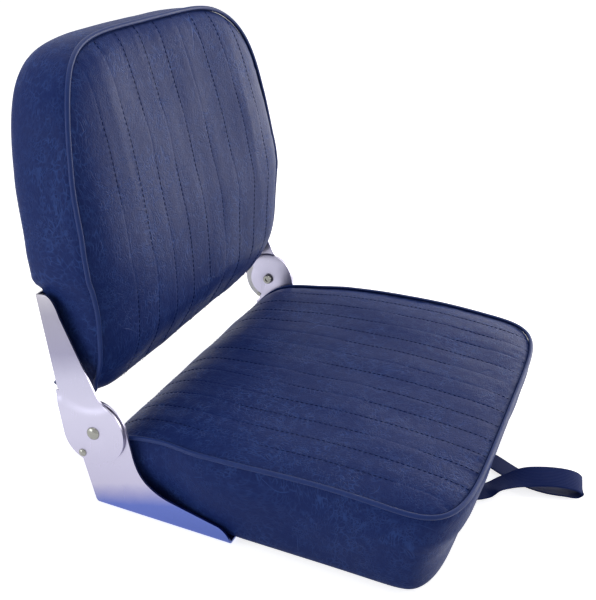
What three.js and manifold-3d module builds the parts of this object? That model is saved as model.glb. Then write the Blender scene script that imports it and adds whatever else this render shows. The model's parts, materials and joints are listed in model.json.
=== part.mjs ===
// Low-back folding boat seat: two vinyl cushions joined by a riveted aluminium hinge at each side.
// Millimetres, +Z up. The sitter faces -Y, X = 0 is the middle plane, and Z = 0 is the underside
// of the lower brackets. The hinge axis runs along X at Y = 0.
import * as THREE from 'three';
import { mergeVertices } from 'three/addons/utils/BufferGeometryUtils.js';
import Module from 'manifold-3d';

const wasm = await Module();
wasm.setup();

// Overall sizes.
const hingeWidth = 424.4; // over the outer faces of the two arm discs
const pivotHeight = 78.5; // hinge axis above the underside of the brackets
const recline = THREE.MathUtils.degToRad(13.8); // back from upright while it leans on the stop
const fitGap = 0.3; // left between touching pieces
const overrun = 20; // how far a cutter runs past what it cuts
const meshTolerance = 0.03; // slivers thinner than this are cleaned away after a cut

// Hinge sheet metal.
const plateThick = 2.5;
const bendRadius = 4; // outside radius of the folded flanges
const discRadius = 31.5; // round lower end of the arm
const headRadius = 32.2; // round upper end of the bracket
const camRadius = 23.2; // cut-back part of the head, which the stop rivet travels round
const hingeWasherThick = 1.5;
const hingeWasherRadius = 30.4;
const hingeWasherStep = 0.7; // depth of the washer's cut-back inner face
const hingeWasherHubRadius = 22;
const bracketGap = 0.4; // washer to bracket

// Pivot rivet and stop rivet.
const pivotHeadRadius = 6.35;
const pivotHeadHigh = 2.9;
const pivotShankRadius = 4;
const pivotTailRadius = 5.6;
const pivotTailHigh = 1.4;
const pivotTailHollow = 2.2;
const stopHeadRadius = 3.9;
const stopHeadHigh = 2.1;
const stopShankRadius = 2.5;
const stopRadius = 26.3; // from the hinge axis
const stopAngle = THREE.MathUtils.degToRad(24.5); // behind straight down, while the back leans on it
const stopTravel = THREE.MathUtils.degToRad(88); // of the stop rivet round the cut-back part of the head

// Lower bracket, side view from the hinge axis; its foot is folded under the seat.
const footRear = 3; // rear end of the foot, in front of the axis
const shoulderBack = 13.4; // shoulder under the stop rivet, behind the axis
const shoulderHeight = 45;
const neckAngle = THREE.MathUtils.degToRad(163); // where the front edge leaves the head, from the rear
const neckFront = 39;
const neckHeight = 60.3;
const throatFront = 44.5;
const throatHeight = 43;
const sweepStartFront = 56;
const sweepStartHeight = 35.3;
const sweepFront = 65;
const sweepHeight = 28.6;
const beamFront = 77;
const beamHeight = 25.7;
const noseStart = 128;
const noseStartHeight = 15;
const noseCurve = 137;
const noseHeight = 11;
const noseFront = 141;
const footWidth = 40; // from the outer face of the plate to the inner edge of the foot
const footCorner = 12;

// Arm, side view along the back; its rear edge is folded behind the backrest.
const armTop = 135; // above the axis, along the back
const armTopFront = -13; // in front of the axis
const armNeck = 36;
const armNeckFront = 10.5;
const armTopCorner = 11;
const armRear = 31.2; // rear face of the arm's flange, behind the axis
const armRearEdge = discRadius; // cut rear edge below the flange, level with the disc
const armFlangeBottom = 43.5;
const armFlangeWidth = 42;
const joggleStart = 21; // crease where the arm steps in towards the bracket
const joggleEnd = 27;

// Cushion covers.
const coverThick = 3; // vinyl with its sewn foam backing
const backCoverThick = 3.6;
const backCornerShare = 0.85; // of the half width, where the back cover's folded lower corners start
const backCornerFold = 20; // height of those corners
const hemThick = 1.5; // bare vinyl turned under the seat board
const hemWidth = 30;
const pipingRadius = 2.25;
const channelWidth = 5; // half width of a sewn channel
const channelDepth = 1.6;

// Seat cushion: length from its rear face to the front seam, height from its hem to the seam.
const seatRear = 13.5; // rear face, behind the axis
const seatLength = 354.5;
const seatSeamHigh = 90.9;
const seatSideInset = 0.4; // widest seam inside the arm discs' outer faces
const seatHalfWidth = hingeWidth / 2 - seatSideInset;
const seatWaist = 29.652; // how much narrower each side is at the rear end
const seatCornerLength = 69.5;
const seatPitch = 30; // between sewn channels
const seatChannels = 13;
const seatRoll = 14; // how fast the panel rises from its seam
const seatRise = 5.5;
const seatDish = 2;
const seatTaper = 10; // how far the side strip leans in
const seatFrontBulge = 4;
const seatBoardThick = 12;
const seatBoardMargin = 18; // board edge inside the widest seam

// Backrest cushion: length from its lower end to the top seam, height from its rear face.
const backBottom = 30.5; // lower end above the axis, along the back
const backLength = 312.3;
const backRearFace = 40; // behind the axis
const backSeamHigh = 70.4;
const backSideInset = 1.4;
const backHalfWidth = hingeWidth / 2 - backSideInset;
const backWaist = 24.6636;
const backCornerLength = 150;
const backPitch = 40;
const backChannels = 9;
const backRoll = 15;
const backRise = 14;
const backDish = 7;
const backTaper = 10;
const backTopBulge = 5.5;
const backBoardThick = 9;
const backBoardRear = 26.5; // rear face of the board, behind the axis
const backBoardMargin = 16;
const boardCorner = 16; // rounding of a board's corners at the hinge end
const backOpeningMargin = 35; // edge of the rear panel inside the widest seam
const panelTuck = 8; // rear panel's thin margin behind the cover's edge

// Fasteners.
const screwHeadRadius = 4.6;
const screwHeadHigh = 2;
const screwShankRadius = 2.2;
const bracketScrewPlaces = [26, 74, 122]; // in front of the axis
const armScrewPlaces = [62, 90, 118]; // above the axis, along the back
const screwInset = 31.5; // from the outer face of the plate
const nutPattern = 127; // square of the four mounting nuts
const nutFlangeRadius = 9.5;
const nutFlangeThick = 1.4;
const nutBarrelRadius = 3.9;
const nutBoreRadius = 2.7;
const nutBarrelLong = 9;

// Hold-down strap.
const strapWidth = 25;
const strapThick = 1.6;
const strapScrewInset = 45; // behind the seat's front seam
const strapReach = 150; // the strap's loop, measured from its screws; its route is in shares of this
const strapWasherRadius = 7.5;
const strapWasherThick = 1;
const strapSteps = 56;

const bracketOuter = hingeWidth / 2 - plateThick - fitGap - hingeWasherThick - bracketGap;
const bracketInner = bracketOuter - plateThick;
const discInner = hingeWidth / 2 - plateThick;
const armInner = bracketOuter + fitGap;
const joggle = discInner - armInner;
const seatBase = plateThick + fitGap; // underside of the seat's hem
const boardBottom = seatBase + hemThick + fitGap;
const boardTop = boardBottom + seatBoardThick;
const seatFront = seatLength - seatRear;
const strapScrewFront = seatFront - strapScrewInset;

// Materials.
const vinyl = { color: 0x24386f, roughness: 0.42, metalness: 0 };
const vinylEdge = { color: 0x1f3264, roughness: 0.4, metalness: 0 };
const aluminium = { color: 0xc9c6da, roughness: 0.36, metalness: 1 };
const steel = { color: 0xb9babd, roughness: 0.3, metalness: 1 };
const plywood = { color: 0xb08a5c, roughness: 0.8, metalness: 0 };
const foam = { color: 0xd9cfa6, roughness: 0.95, metalness: 0 };
const nylon = { color: 0xe6e4dd, roughness: 0.5, metalness: 0 };
const webbing = { color: 0x20346a, roughness: 0.45, metalness: 0 };

const seatFrame = new THREE.Group();
const backFrame = new THREE.Group();
backFrame.position.z = pivotHeight;
backFrame.rotation.x = -recline;
const boatSeat = new THREE.Group();
boatSeat.add(seatFrame, backFrame);

function solid(geometry) {
  let bare = geometry.clone();
  bare.deleteAttribute('normal');
  bare.deleteAttribute('uv');
  bare = mergeVertices(bare, 1e-4);
  const vertProperties = new Float32Array(bare.attributes.position.array);
  const triVerts = new Uint32Array(bare.index.array);
  return new wasm.Manifold(new wasm.Mesh({ numProp: 3, vertProperties, triVerts }));
}

function geometryOf(manifold) {
  const { vertProperties, triVerts } = manifold.simplify(meshTolerance).getMesh();
  const geometry = new THREE.BufferGeometry();
  geometry.setAttribute('position', new THREE.BufferAttribute(vertProperties.slice(), 3));
  geometry.setIndex(new THREE.BufferAttribute(triVerts.slice(), 1));
  return geometry;
}

function place(frame, name, shape, finish) {
  const geometry = shape.isBufferGeometry ? shape : geometryOf(shape);
  const mesh = new THREE.Mesh(geometry, new THREE.MeshStandardMaterial(finish));
  mesh.name = name;
  frame.add(mesh);
  return mesh;
}

// A flat outline given a thickness, and turned so that its own X, Y and Z lie along the given axes.
function slab(shape, thick, axes, origin = new THREE.Vector3(), curveSegments = 12) {
  const geometry = new THREE.ExtrudeGeometry(shape, { depth: thick, bevelEnabled: false, curveSegments });
  geometry.applyMatrix4(new THREE.Matrix4().makeBasis(...axes).setPosition(origin));
  return geometry;
}

const xAxis = new THREE.Vector3(1, 0, 0);
const yAxis = new THREE.Vector3(0, 1, 0);
const zAxis = new THREE.Vector3(0, 0, 1);
const sideView = [yAxis, zAxis, xAxis]; // outline in Y and Z, thickness along X
const planView = [xAxis, yAxis, zAxis]; // outline in X and Y, thickness along Z
const frontView = [xAxis, zAxis, yAxis.clone().negate()]; // outline in X and Z, thickness towards -Y

function box(x0, x1, y0, y1, z0, z1) {
  const geometry = new THREE.BoxGeometry(x1 - x0, y1 - y0, z1 - z0);
  return geometry.translate((x0 + x1) / 2, (y0 + y1) / 2, (z0 + z1) / 2);
}

// A turned piece: radii and stations along its axis, which points the given way from its origin.
function turned(profile, direction, origin, sides = 24) {
  const points = profile.map(([radius, along]) => new THREE.Vector2(radius, along));
  const geometry = new THREE.LatheGeometry(points, sides);
  const turn = new THREE.Quaternion().setFromUnitVectors(yAxis, direction.clone().normalize());
  geometry.applyQuaternion(turn);
  geometry.translate(origin.x, origin.y, origin.z);
  return geometry;
}

function pin(radius, from, to, direction, origin, sides = 20) {
  return turned([[0, from], [radius, from], [radius, to], [0, to]], direction, origin, sides);
}

function domed(radius, high) {
  const shares = [[1, 0], [0.985, 0.3], [0.86, 0.66], [0.56, 0.91], [0, 1]];
  return shares.map(([wide, up]) => [radius * wide, high * up]);
}

function cut(body, ...cutters) {
  return cutters.reduce((rest, cutter) => rest.subtract(solid(cutter)), body);
}

// Piecewise smooth value through [place, value] pairs.
function smoothTable(pairs, at) {
  const last = pairs.length - 1;
  if (at <= pairs[0][0]) return pairs[0][1];
  if (at >= pairs[last][0]) return pairs[last][1];
  const k = pairs.findIndex(([place]) => place > at) - 1;
  const share = (at - pairs[k][0]) / (pairs[k + 1][0] - pairs[k][0]);
  const eased = share * share * (3 - 2 * share);
  return pairs[k][1] + (pairs[k + 1][1] - pairs[k][1]) * (0.5 * share + 0.5 * eased);
}

// A cushion in its own frame: across, along from the wrapped end, and out from the base.
// The main panel starts at the base, wraps round one end and runs to the far seam. A strip
// joins its two sides and far end to the base. Everything is worked out from the form's sizes.
class Cushion {
  constructor(form) {
    Object.assign(this, form);
    this.curve = new THREE.SplineCurve(
      this.profileShares.map(([along, out]) => new THREE.Vector2(along * this.length, out * this.high)));
    const fine = this.curve.getPoints(this.profileShares.length * 16);
    const turnShare = this.profileShares[this.wrapPoint][0];
    this.wrapAt = this.wrapPoint / (this.profileShares.length - 1);
    this.wrapEnd = turnShare * this.length;
    this.top = fine.filter((point) => point.x >= this.wrapEnd - 1e-9);
  }

  halfWidthAt(along) {
    return this.halfWidth - this.waist * smoothTable(this.waistShares, along / this.length);
  }

  seamHeightAt(along) {
    const next = this.top.findIndex((point) => point.x > along);
    if (next < 0) return this.top[this.top.length - 1].y;
    if (next === 0) return this.top[0].y;
    const a = this.top[next - 1];
    const b = this.top[next];
    return a.y + ((b.y - a.y) * (along - a.x)) / (b.x - a.x);
  }

  farSeamAt(across) {
    const share = Math.min(1, Math.abs(across) / this.halfWidth);
    const rounded = (1 - share ** this.cornerPowerAcross) ** (1 / this.cornerPowerAlong);
    return this.length - this.cornerLength * (1 - rounded);
  }

  crownAt(across, along, wide) {
    const side = 1 - Math.exp(-Math.max(0, wide - Math.abs(across)) / this.roll);
    const far = 1 - Math.exp(-Math.max(0, this.farSeamAt(across) - along) / this.roll);
    const open = Math.min(1, Math.max(0, along - this.wrapEnd) / (this.dishReach * this.length));
    const dished = this.dish * open * Math.max(0, 1 - (across / (this.dishShare * this.halfWidth)) ** 2);
    return (this.rise - dished * side * far) * side * far;
  }

  channelAt(across) {
    const half = (this.channels - 1) / 2;
    const line = Math.max(-half, Math.min(half, Math.round(across / this.pitch))) * this.pitch;
    return this.channelDepth * Math.max(0, 1 - Math.abs(across - line) / this.channelWidth);
  }

  // Places of the columns: one on each channel, one at each of its edges, and some near the seams.
  columns(detailed) {
    const places = new Set();
    if (detailed) {
      for (let k = 0; k < this.channels; k += 1) {
        const line = (k - (this.channels - 1) / 2) * this.pitch;
        [-this.channelWidth, 0, this.channelWidth].forEach((step) => places.add(line + step));
      }
    } else {
      [-0.72, -0.48, -0.24, 0, 0.24, 0.48, 0.72].forEach((share) => places.add(share * this.halfWidth));
    }
    const edgeShares = detailed ? this.edgeShares : this.edgeShares.filter((share, k) => k !== 1);
    edgeShares.forEach((share) => {
      places.add(share * this.halfWidth);
      places.add(-share * this.halfWidth);
    });
    return [...places].sort((a, b) => a - b);
  }

  // Flat outline a margin inside the widest seam, for boards and panels, from the given place on.
  outline(margin, near, corner) {
    const right = [];
    const start = near + corner;
    const side = this.length - this.cornerLength;
    [0, 0.15, 0.3, 0.45, 0.6, 0.8, 1].forEach((share) => {
      const along = start + (side - start) * share;
      right.push([this.halfWidthAt(along) - margin, along]);
    });
    const widest = this.halfWidth - margin;
    [0.97, 0.9, 0.78, 0.6, 0.35].forEach((share) => {
      const along = this.farSeamAt(this.halfWidth * share) - margin;
      right.push([(widest * share * this.halfWidthAt(along)) / this.halfWidth, along]);
    });
    const first = right[0];
    const shape = new THREE.Shape();
    shape.moveTo(-first[0] + corner, near);
    shape.lineTo(first[0] - corner, near);
    shape.quadraticCurveTo(first[0], near, first[0], first[1]);
    right.slice(1).forEach(([x, y]) => shape.lineTo(x, y));
    [...right].reverse().forEach(([x, y]) => shape.lineTo(-x, y));
    shape.quadraticCurveTo(-first[0], near, -first[0] + corner, near);
    return shape;
  }

  // inset: how far this surface lies inside the cover's outer one; lift: the same at the base.
  geometry(inset, lift, detailed) {
    const columns = this.columns(detailed);
    const wrapRows = detailed ? this.wrapRows : this.wrapRows.filter((share, k) => k % 2 === 0);
    const everyOther = (share, k, all) => k % 2 === 0 || k === all.length - 1;
    const topRows = detailed ? this.topRows : this.topRows.filter(everyOther);
    const squeeze = (this.halfWidth - inset) / this.halfWidth;
    const along = (value) => inset + (value * (this.length - 2 * inset)) / this.length;
    const out = (value) => lift + (value * (this.high - inset - lift)) / this.high;
    const rows = wrapRows.length + topRows.length - 1;
    const panel = columns.map((place) => {
      const line = [];
      wrapRows.forEach((share) => {
        const at = this.curve.getPoint(share * this.wrapAt);
        const slope = this.curve.getTangent(share * this.wrapAt);
        const wide = this.halfWidthAt(at.x);
        const across = (place * wide) / this.halfWidth;
        const groove = detailed ? this.channelAt(place) * share : 0;
        const crown = this.crownAt(across, this.wrapEnd, wide) * share ** this.wrapPower - groove;
        line.push([across * squeeze, along(at.x) - slope.y * crown, out(at.y) + slope.x * crown]);
      });
      topRows.slice(1).forEach((share) => {
        const reach = this.wrapEnd + (this.farSeamAt(place) - this.wrapEnd) * share;
        const wide = this.halfWidthAt(reach);
        const across = (place * wide) / this.halfWidth;
        const fade = Math.min(1, (this.farSeamAt(place) - reach) / this.channelWidth);
        const groove = detailed ? this.channelAt(place) * fade : 0;
        const crown = this.crownAt(across, reach, wide) - groove;
        line.push([across * squeeze, along(reach), out(this.seamHeightAt(reach)) + Math.max(0, crown)]);
      });
      return line;
    });

    const seam = [];
    for (let j = 0; j < rows; j += 1) seam.push({ at: panel[0][j], row: j });
    for (let i = 1; i < columns.length - 1; i += 1) seam.push({ at: panel[i][rows - 1], row: rows });
    for (let j = rows - 1; j >= 0; j -= 1) seam.push({ at: panel[columns.length - 1][j], row: j });

    const wrapped = wrapRows.length - 1;
    const strips = seam.map((node, k) => {
      const [x, y, z] = node.at;
      const side = k < rows ? -1 : 1;
      let normal = [side, 0];
      if (node.row > wrapped) {
        const before = seam[Math.max(0, k - 1)].at;
        const after = seam[Math.min(seam.length - 1, k + 1)].at;
        const run = Math.hypot(after[0] - before[0], after[1] - before[1]);
        normal = [-(after[1] - before[1]) / run, (after[0] - before[0]) / run];
      }
      const height = (z - lift) / (this.high - lift);
      const start = seam[0].at[1];
      const turn = seam[wrapped].at[1];
      const foot = node.row < wrapped ? start + ((turn - start) * node.row) / wrapped : y;
      node.normal = normal;
      return this.stripShares.map(([down, sideShare, farShare]) => {
        const facing = normal[1] ** 2;
        const sideLean = detailed ? sideShare : Math.max(sideShare, this.innerSideShare);
        const farLean = detailed ? farShare : Math.max(farShare, this.innerFarShare);
        const lean = sideLean * this.taper * (1 - facing) + farLean * this.farBulge * facing;
        const reach = lean * Math.max(0, height);
        return [x + normal[0] * reach, y + (foot - y) * down + normal[1] * reach, z + (lift - z) * down];
      });
    });

    const build = new Builder();
    for (let i = 0; i + 1 < columns.length; i += 1) {
      for (let j = 0; j + 1 < rows; j += 1) {
        build.quad(panel[i][j], panel[i + 1][j], panel[i + 1][j + 1], panel[i][j + 1]);
      }
    }
    const skip = detailed ? 1 : 2;
    const lastLevel = this.stripShares.length - 1;
    const levels = this.stripShares.map((share, m) => m).filter((m) => m % skip === 0 || m === lastLevel);
    for (let k = 0; k + 1 < seam.length; k += 1) {
      for (let m = 0; m + 1 < levels.length; m += 1) {
        const up = levels[m];
        const low = levels[m + 1];
        build.quad(strips[k][up], strips[k + 1][up], strips[k + 1][low], strips[k][low]);
      }
    }
    const foot = strips.map((strip) => strip[strip.length - 1]);
    const closing = panel.slice(1, -1).map((line) => line[0]).reverse();
    const ring = foot.concat(closing);
    const middle = [0, (this.wrapEnd + this.length) / 2, ring[0][2]];
    ring.forEach((point, k) => build.triangle(middle, point, ring[(k + 1) % ring.length]));
    this.lastSeam = seam;
    return build.geometry(this.toPart);
  }
}

// Collects triangles with shared corners, then gives a closed surface that faces outwards.
class Builder {
  constructor() {
    this.corners = new Map();
    this.points = [];
    this.faces = [];
  }

  corner(point) {
    const key = point.map((value) => Math.round(value * 2000)).join();
    if (!this.corners.has(key)) {
      this.corners.set(key, this.points.length);
      this.points.push(point);
    }
    return this.corners.get(key);
  }

  triangle(a, b, c) {
    const [i, j, k] = [a, b, c].map((point) => this.corner(point));
    if (i !== j && j !== k && k !== i) this.faces.push([i, j, k]);
  }

  quad(a, b, c, d) {
    this.triangle(a, b, c);
    this.triangle(a, c, d);
  }

  geometry(toPart = (point) => point) {
    const points = this.points.map((point) => new THREE.Vector3(...toPart(point)));
    const volume = this.faces.reduce((sum, [i, j, k]) =>
      sum + points[i].dot(points[j].clone().cross(points[k])), 0);
    const faces = volume < 0 ? this.faces.map(([i, j, k]) => [i, k, j]) : this.faces;
    const geometry = new THREE.BufferGeometry().setFromPoints(points);
    geometry.setIndex(faces.flat());
    return geometry;
  }
}

// Piping: a round bead along the seam, just outside the edge where panel and strip meet.
function pipingGeometry(cushion, steps) {
  const outShare = 1;
  const upShare = 0.78;
  const points = cushion.lastSeam.map(({ at, normal, row }, k, all) => {
    const before = all[Math.max(0, k - 1)].at;
    const after = all[Math.min(all.length - 1, k + 1)].at;
    const along = new THREE.Vector3(...after).sub(new THREE.Vector3(...before)).normalize();
    const out = new THREE.Vector3(normal[0], normal[1], 0);
    const up = along.clone().cross(out).normalize();
    const offset = out.multiplyScalar(outShare * pipingRadius).addScaledVector(up, upShare * pipingRadius);
    return new THREE.Vector3(...at).add(offset);
  });
  const placed = points.map((point) => new THREE.Vector3(...cushion.toPart(point.toArray())));
  const path = new THREE.CatmullRomCurve3(placed);
  const section = new THREE.Shape().absarc(0, 0, pipingRadius, 0, 2 * Math.PI);
  const sweep = { extrudePath: path, steps, curveSegments: 4, bevelEnabled: false };
  return new THREE.ExtrudeGeometry(section, sweep);
}

const seatCushion = new Cushion({
  length: seatLength,
  high: seatSeamHigh,
  halfWidth: seatHalfWidth,
  cornerLength: seatCornerLength,
  cornerPowerAcross: 6,
  cornerPowerAlong: 4,
  profileShares: [[0.014, 0], [0, 0.14], [0.006, 0.34], [0.033, 0.52], [0.08, 0.71], [0.15, 0.825],
    [0.3, 0.908],
    [0.52, 0.978], [0.72, 1], [1, 0.948]],
  wrapPoint: 5,
  wrapPower: 0.8,
  waist: seatWaist,
  waistShares: [[0, 1], [0.05, 0.6786], [0.1, 0.5], [0.16, 0.4429], [0.22, 0.3857], [0.34, 0.0857],
    [0.48, 0], [1, 0]],
  edgeShares: [1, 0.985, 0.955, 0.9],
  wrapRows: [0, 0.2, 0.4, 0.6, 0.8, 1],
  topRows: [0, 0.2, 0.45, 0.7, 0.9, 0.97, 1],
  stripShares: [[0, 0, 0], [0.1, 0.15, 0.85], [0.3, 0.06, 0.45], [0.5, -0.25, -1.5], [0.7, -0.65, -2.8],
    [0.86, -0.95, -3.1], [0.95, -1.15, -3.3], [0.988, -1.4, -3.8], [1, -1.8, -4.7]],
  innerSideShare: -1.3,
  innerFarShare: -3.6,
  taper: seatTaper,
  farBulge: seatFrontBulge,
  roll: seatRoll,
  rise: seatRise,
  dish: seatDish,
  dishShare: 0.75,
  dishReach: 0.3,
  pitch: seatPitch,
  channels: seatChannels,
  channelWidth,
  channelDepth,
  toPart: ([across, along, out]) => [across, seatRear - along, seatBase + out],
});

const backCushion = new Cushion({
  length: backLength,
  high: backSeamHigh,
  halfWidth: backHalfWidth,
  cornerLength: backCornerLength,
  cornerPowerAcross: 5.3,
  cornerPowerAlong: 2.6,
  profileShares: [[0.045, 0], [0.008, 0.1], [0, 0.3], [0.01, 0.48], [0.045, 0.59], [0.14, 0.81], [0.33, 0.97],
    [0.48, 1], [0.7, 0.95], [1, 0.778]],
  wrapPoint: 5,
  wrapPower: 0.7,
  waist: backWaist,
  waistShares: [[0, 1], [0.05, 0.6838], [0.19, 0.4274], [0.25, 0.3846], [0.34, 0.1538], [0.38, 0], [0.43, 0],
    [0.5, 0.1026], [0.63, 0.2222], [0.7, 0.3248], [1, 0.5556]],
  edgeShares: [1, 0.985, 0.955, 0.91, 0.86],
  wrapRows: [0, 0.2, 0.4, 0.6, 0.8, 1],
  topRows: [0, 0.2, 0.45, 0.7, 0.88, 0.96, 1],
  stripShares: [[0, 0, 0], [0.1, 0.1, 0.5], [0.3, 0.02, 0.9], [0.5, -0.12, 1], [0.7, -0.35, 0.8],
    [0.87, -0.7, 0.1], [0.96, -1.1, -0.8], [1, -1.9, -2.4]],
  innerSideShare: -1.9,
  innerFarShare: -2.4,
  taper: backTaper,
  farBulge: backTopBulge,
  roll: backRoll,
  rise: backRise,
  dish: backDish,
  dishShare: 0.62,
  dishReach: 0.4,
  pitch: backPitch,
  channels: backChannels,
  channelWidth,
  channelDepth,
  toPart: ([across, along, out]) => [across, backRearFace - out, backBottom + along],
});

// Screw with a low domed head, its shank along the given direction from the seat under its head.
function screw(origin, direction, reach) {
  const head = domed(screwHeadRadius, screwHeadHigh).map(([radius, up]) => [radius, -up]).reverse();
  const profile = [...head, [screwShankRadius, 0], [screwShankRadius, reach - screwShankRadius], [0, reach]];
  return turned(profile, direction, origin, 12);
}

function screwHole(origin, direction, reach) {
  return pin(screwShankRadius + fitGap, -overrun, reach, direction, origin, 12);
}

const sides = [['right', -1], ['left', 1]];
const bracketScrews = [];
const armScrews = [];
for (const [side, sign] of sides) {
  const across = sign * (bracketOuter - screwInset);
  bracketScrewPlaces.forEach((front, k) => bracketScrews.push({
    name: `bracket_screw_${side}_${k + 1}`, side, origin: new THREE.Vector3(across, -front, -fitGap),
  }));
  armScrewPlaces.forEach((up, k) => armScrews.push({
    name: `arm_screw_${side}_${k + 1}`, side, origin: new THREE.Vector3(across, armRear + fitGap, up),
  }));
}
const bracketScrewReach = boardTop - fitGap;
const armScrewReach = armRear - backBoardRear + backBoardThick - fitGap;
const inward = yAxis.clone().negate();

// Seat board with its nut pockets.
const nutCentre = -(seatFront - seatRear) / 2;
const nutPlaces = [];
for (const dx of [-1, 1]) {
  for (const dy of [-1, 1]) {
    nutPlaces.push(new THREE.Vector3((dx * nutPattern) / 2, nutCentre + (dy * nutPattern) / 2, boardTop));
  }
}
const strapEnds = [-36, 66]; // across, where each end of the strap is screwed
const strapScrewOrigins = strapEnds.map((across) =>
  new THREE.Vector3(across, -strapScrewFront,
    seatBase - fitGap - strapThick - fitGap - strapWasherThick - fitGap));

const strapScrewReach = boardTop - strapScrewOrigins[0].z - fitGap;
const seatScrewHoles = [
  ...bracketScrews.map(({ origin }) => screwHole(origin, zAxis, bracketScrewReach + fitGap)),
  ...strapScrewOrigins.map((origin) => screwHole(origin, zAxis, strapScrewReach + fitGap)),
];
const underView = [xAxis, inward, zAxis.clone().negate()]; // outline in X and back to front, thickness down
let seatBoard = solid(slab(seatCushion.outline(seatBoardMargin, seatBoardMargin, boardCorner), seatBoardThick,
  underView, new THREE.Vector3(0, seatRear, boardTop), 4));
seatBoard = cut(seatBoard, ...seatScrewHoles, ...nutPlaces.flatMap((origin) => [
  pin(nutFlangeRadius + fitGap, -nutFlangeThick - fitGap, overrun, zAxis, origin, 20),
  pin(nutBarrelRadius + fitGap, -overrun, overrun, zAxis, origin, 16),
]));
place(seatFrame, 'seat_board', seatBoard, plywood);

nutPlaces.forEach((origin, k) => {
  const profile = [[nutBoreRadius, 0], [nutBoreRadius, -nutBarrelLong], [nutBarrelRadius, -nutBarrelLong],
    [nutBarrelRadius, -nutFlangeThick], [nutFlangeRadius, -nutFlangeThick], [nutFlangeRadius, 0],
    [nutBoreRadius, 0]];
  place(seatFrame, `mounting_nut_${k + 1}`, turned(profile, zAxis, origin, 20), steel);
});

// Seat cover: a sewn shell open below, with its hem turned under the board.
const hemMargin = seatBoardMargin + hemWidth;
const seatOpening = slab(seatCushion.outline(hemMargin, hemMargin, boardCorner), overrun, underView,
  new THREE.Vector3(0, seatRear, seatBase + overrun / 2), 4);
const seatOuter = seatCushion.geometry(0, 0, true);
const seatPiping = pipingGeometry(seatCushion, 74);
let seatCover = solid(seatOuter).subtract(solid(seatCushion.geometry(coverThick, hemThick, false)));
seatCover = cut(seatCover, seatOpening, ...seatScrewHoles);
place(seatFrame, 'seat_cover', seatCover, vinyl);
place(seatFrame, 'seat_piping', seatPiping, vinylEdge);
const seatFoam = cut(solid(seatCushion.geometry(coverThick + fitGap, hemThick + fitGap, false)),
  box(-hingeWidth, hingeWidth, -seatLength, seatLength, -overrun, boardTop + fitGap));
place(seatFrame, 'seat_foam', seatFoam, foam);

bracketScrews.forEach(({ name, origin }) => {
  place(seatFrame, name, screw(origin, zAxis, bracketScrewReach), steel);
});

// Backrest board, foam, rear panel and cover.
const backOrigin = (rear) => new THREE.Vector3(0, rear, backBottom);
const backScrewHoles = armScrews.map(({ origin }) => screwHole(origin, inward, armScrewReach + fitGap));
const backBoardOutline = backCushion.outline(backBoardMargin, backBoardMargin, boardCorner);
const backBoard = solid(slab(backBoardOutline, backBoardThick,
  frontView, backOrigin(backBoardRear), 4));
place(backFrame, 'back_board', cut(backBoard, ...backScrewHoles), plywood);
const backFoam = cut(solid(backCushion.geometry(backCoverThick + fitGap, backCoverThick + fitGap, false)),
  box(-hingeWidth, hingeWidth, backBoardRear - backBoardThick - fitGap, backLength,
    -backLength, 2 * backLength));
place(backFrame, 'back_foam', backFoam, foam);

// Room behind the backrest for an arm's flange, which presses the padding flat down to the lower end.
function flangePockets(wall) {
  return sides.map(([side, sign]) => {
    const inner = sign * (armInner + plateThick - armFlangeWidth - 4 * fitGap - wall);
    const outer = sign * (hingeWidth / 2 + overrun);
    const [x0, x1] = [inner, outer].sort((a, b) => a - b);
    const depth = backBoardRear + hemThick + fitGap - wall;
    return box(x0, x1, depth, backRearFace + overrun, -overrun, armTop + 5 * fitGap + wall);
  });
}

// The cover's lower corners are solid, where its layers are folded together beside the board.
const coverCorners = sides.map(([side, sign]) => {
  const [x0, x1] = [sign * backCornerShare * backHalfWidth, sign * hingeWidth].sort((a, b) => a - b);
  return box(x0, x1, backBoardRear - backBoardThick - fitGap, backRearFace + overrun,
    -overrun, backBottom + backCornerFold);
});

const backOuter = cut(solid(backCushion.geometry(0, 0, true)), ...flangePockets(0));
const backPiping = cut(solid(pipingGeometry(backCushion, 74)), ...flangePockets(0));
const backInner = cut(solid(backCushion.geometry(backCoverThick, backCoverThick, false)),
  ...flangePockets(hemThick), ...coverCorners);
const rearPanelSlab = (margin, thick, rear) =>
  slab(backCushion.outline(margin, margin, boardCorner), thick, frontView, backOrigin(rear), 4);
const rearOpening = rearPanelSlab(backOpeningMargin, overrun, backRearFace + overrun / 2);
const backCover = cut(backOuter.subtract(backInner), rearOpening, ...backScrewHoles);
place(backFrame, 'back_cover', backCover, vinyl);
place(backFrame, 'back_piping', backPiping, vinylEdge);

const panelPlug = rearPanelSlab(backOpeningMargin + fitGap,
  backRearFace - backBoardRear - fitGap, backRearFace);
const panelMargin = rearPanelSlab(backOpeningMargin - panelTuck,
  backRearFace - backCoverThick - backBoardRear - 2 * fitGap, backRearFace - backCoverThick - fitGap);
const rearPanel = cut(solid(panelPlug).add(solid(panelMargin)), ...flangePockets(hemThick + fitGap));
place(backFrame, 'back_rear_panel', rearPanel, vinyl);

armScrews.forEach(({ name, origin }) => {
  place(backFrame, name, screw(origin, inward, armScrewReach), steel);
});

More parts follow.
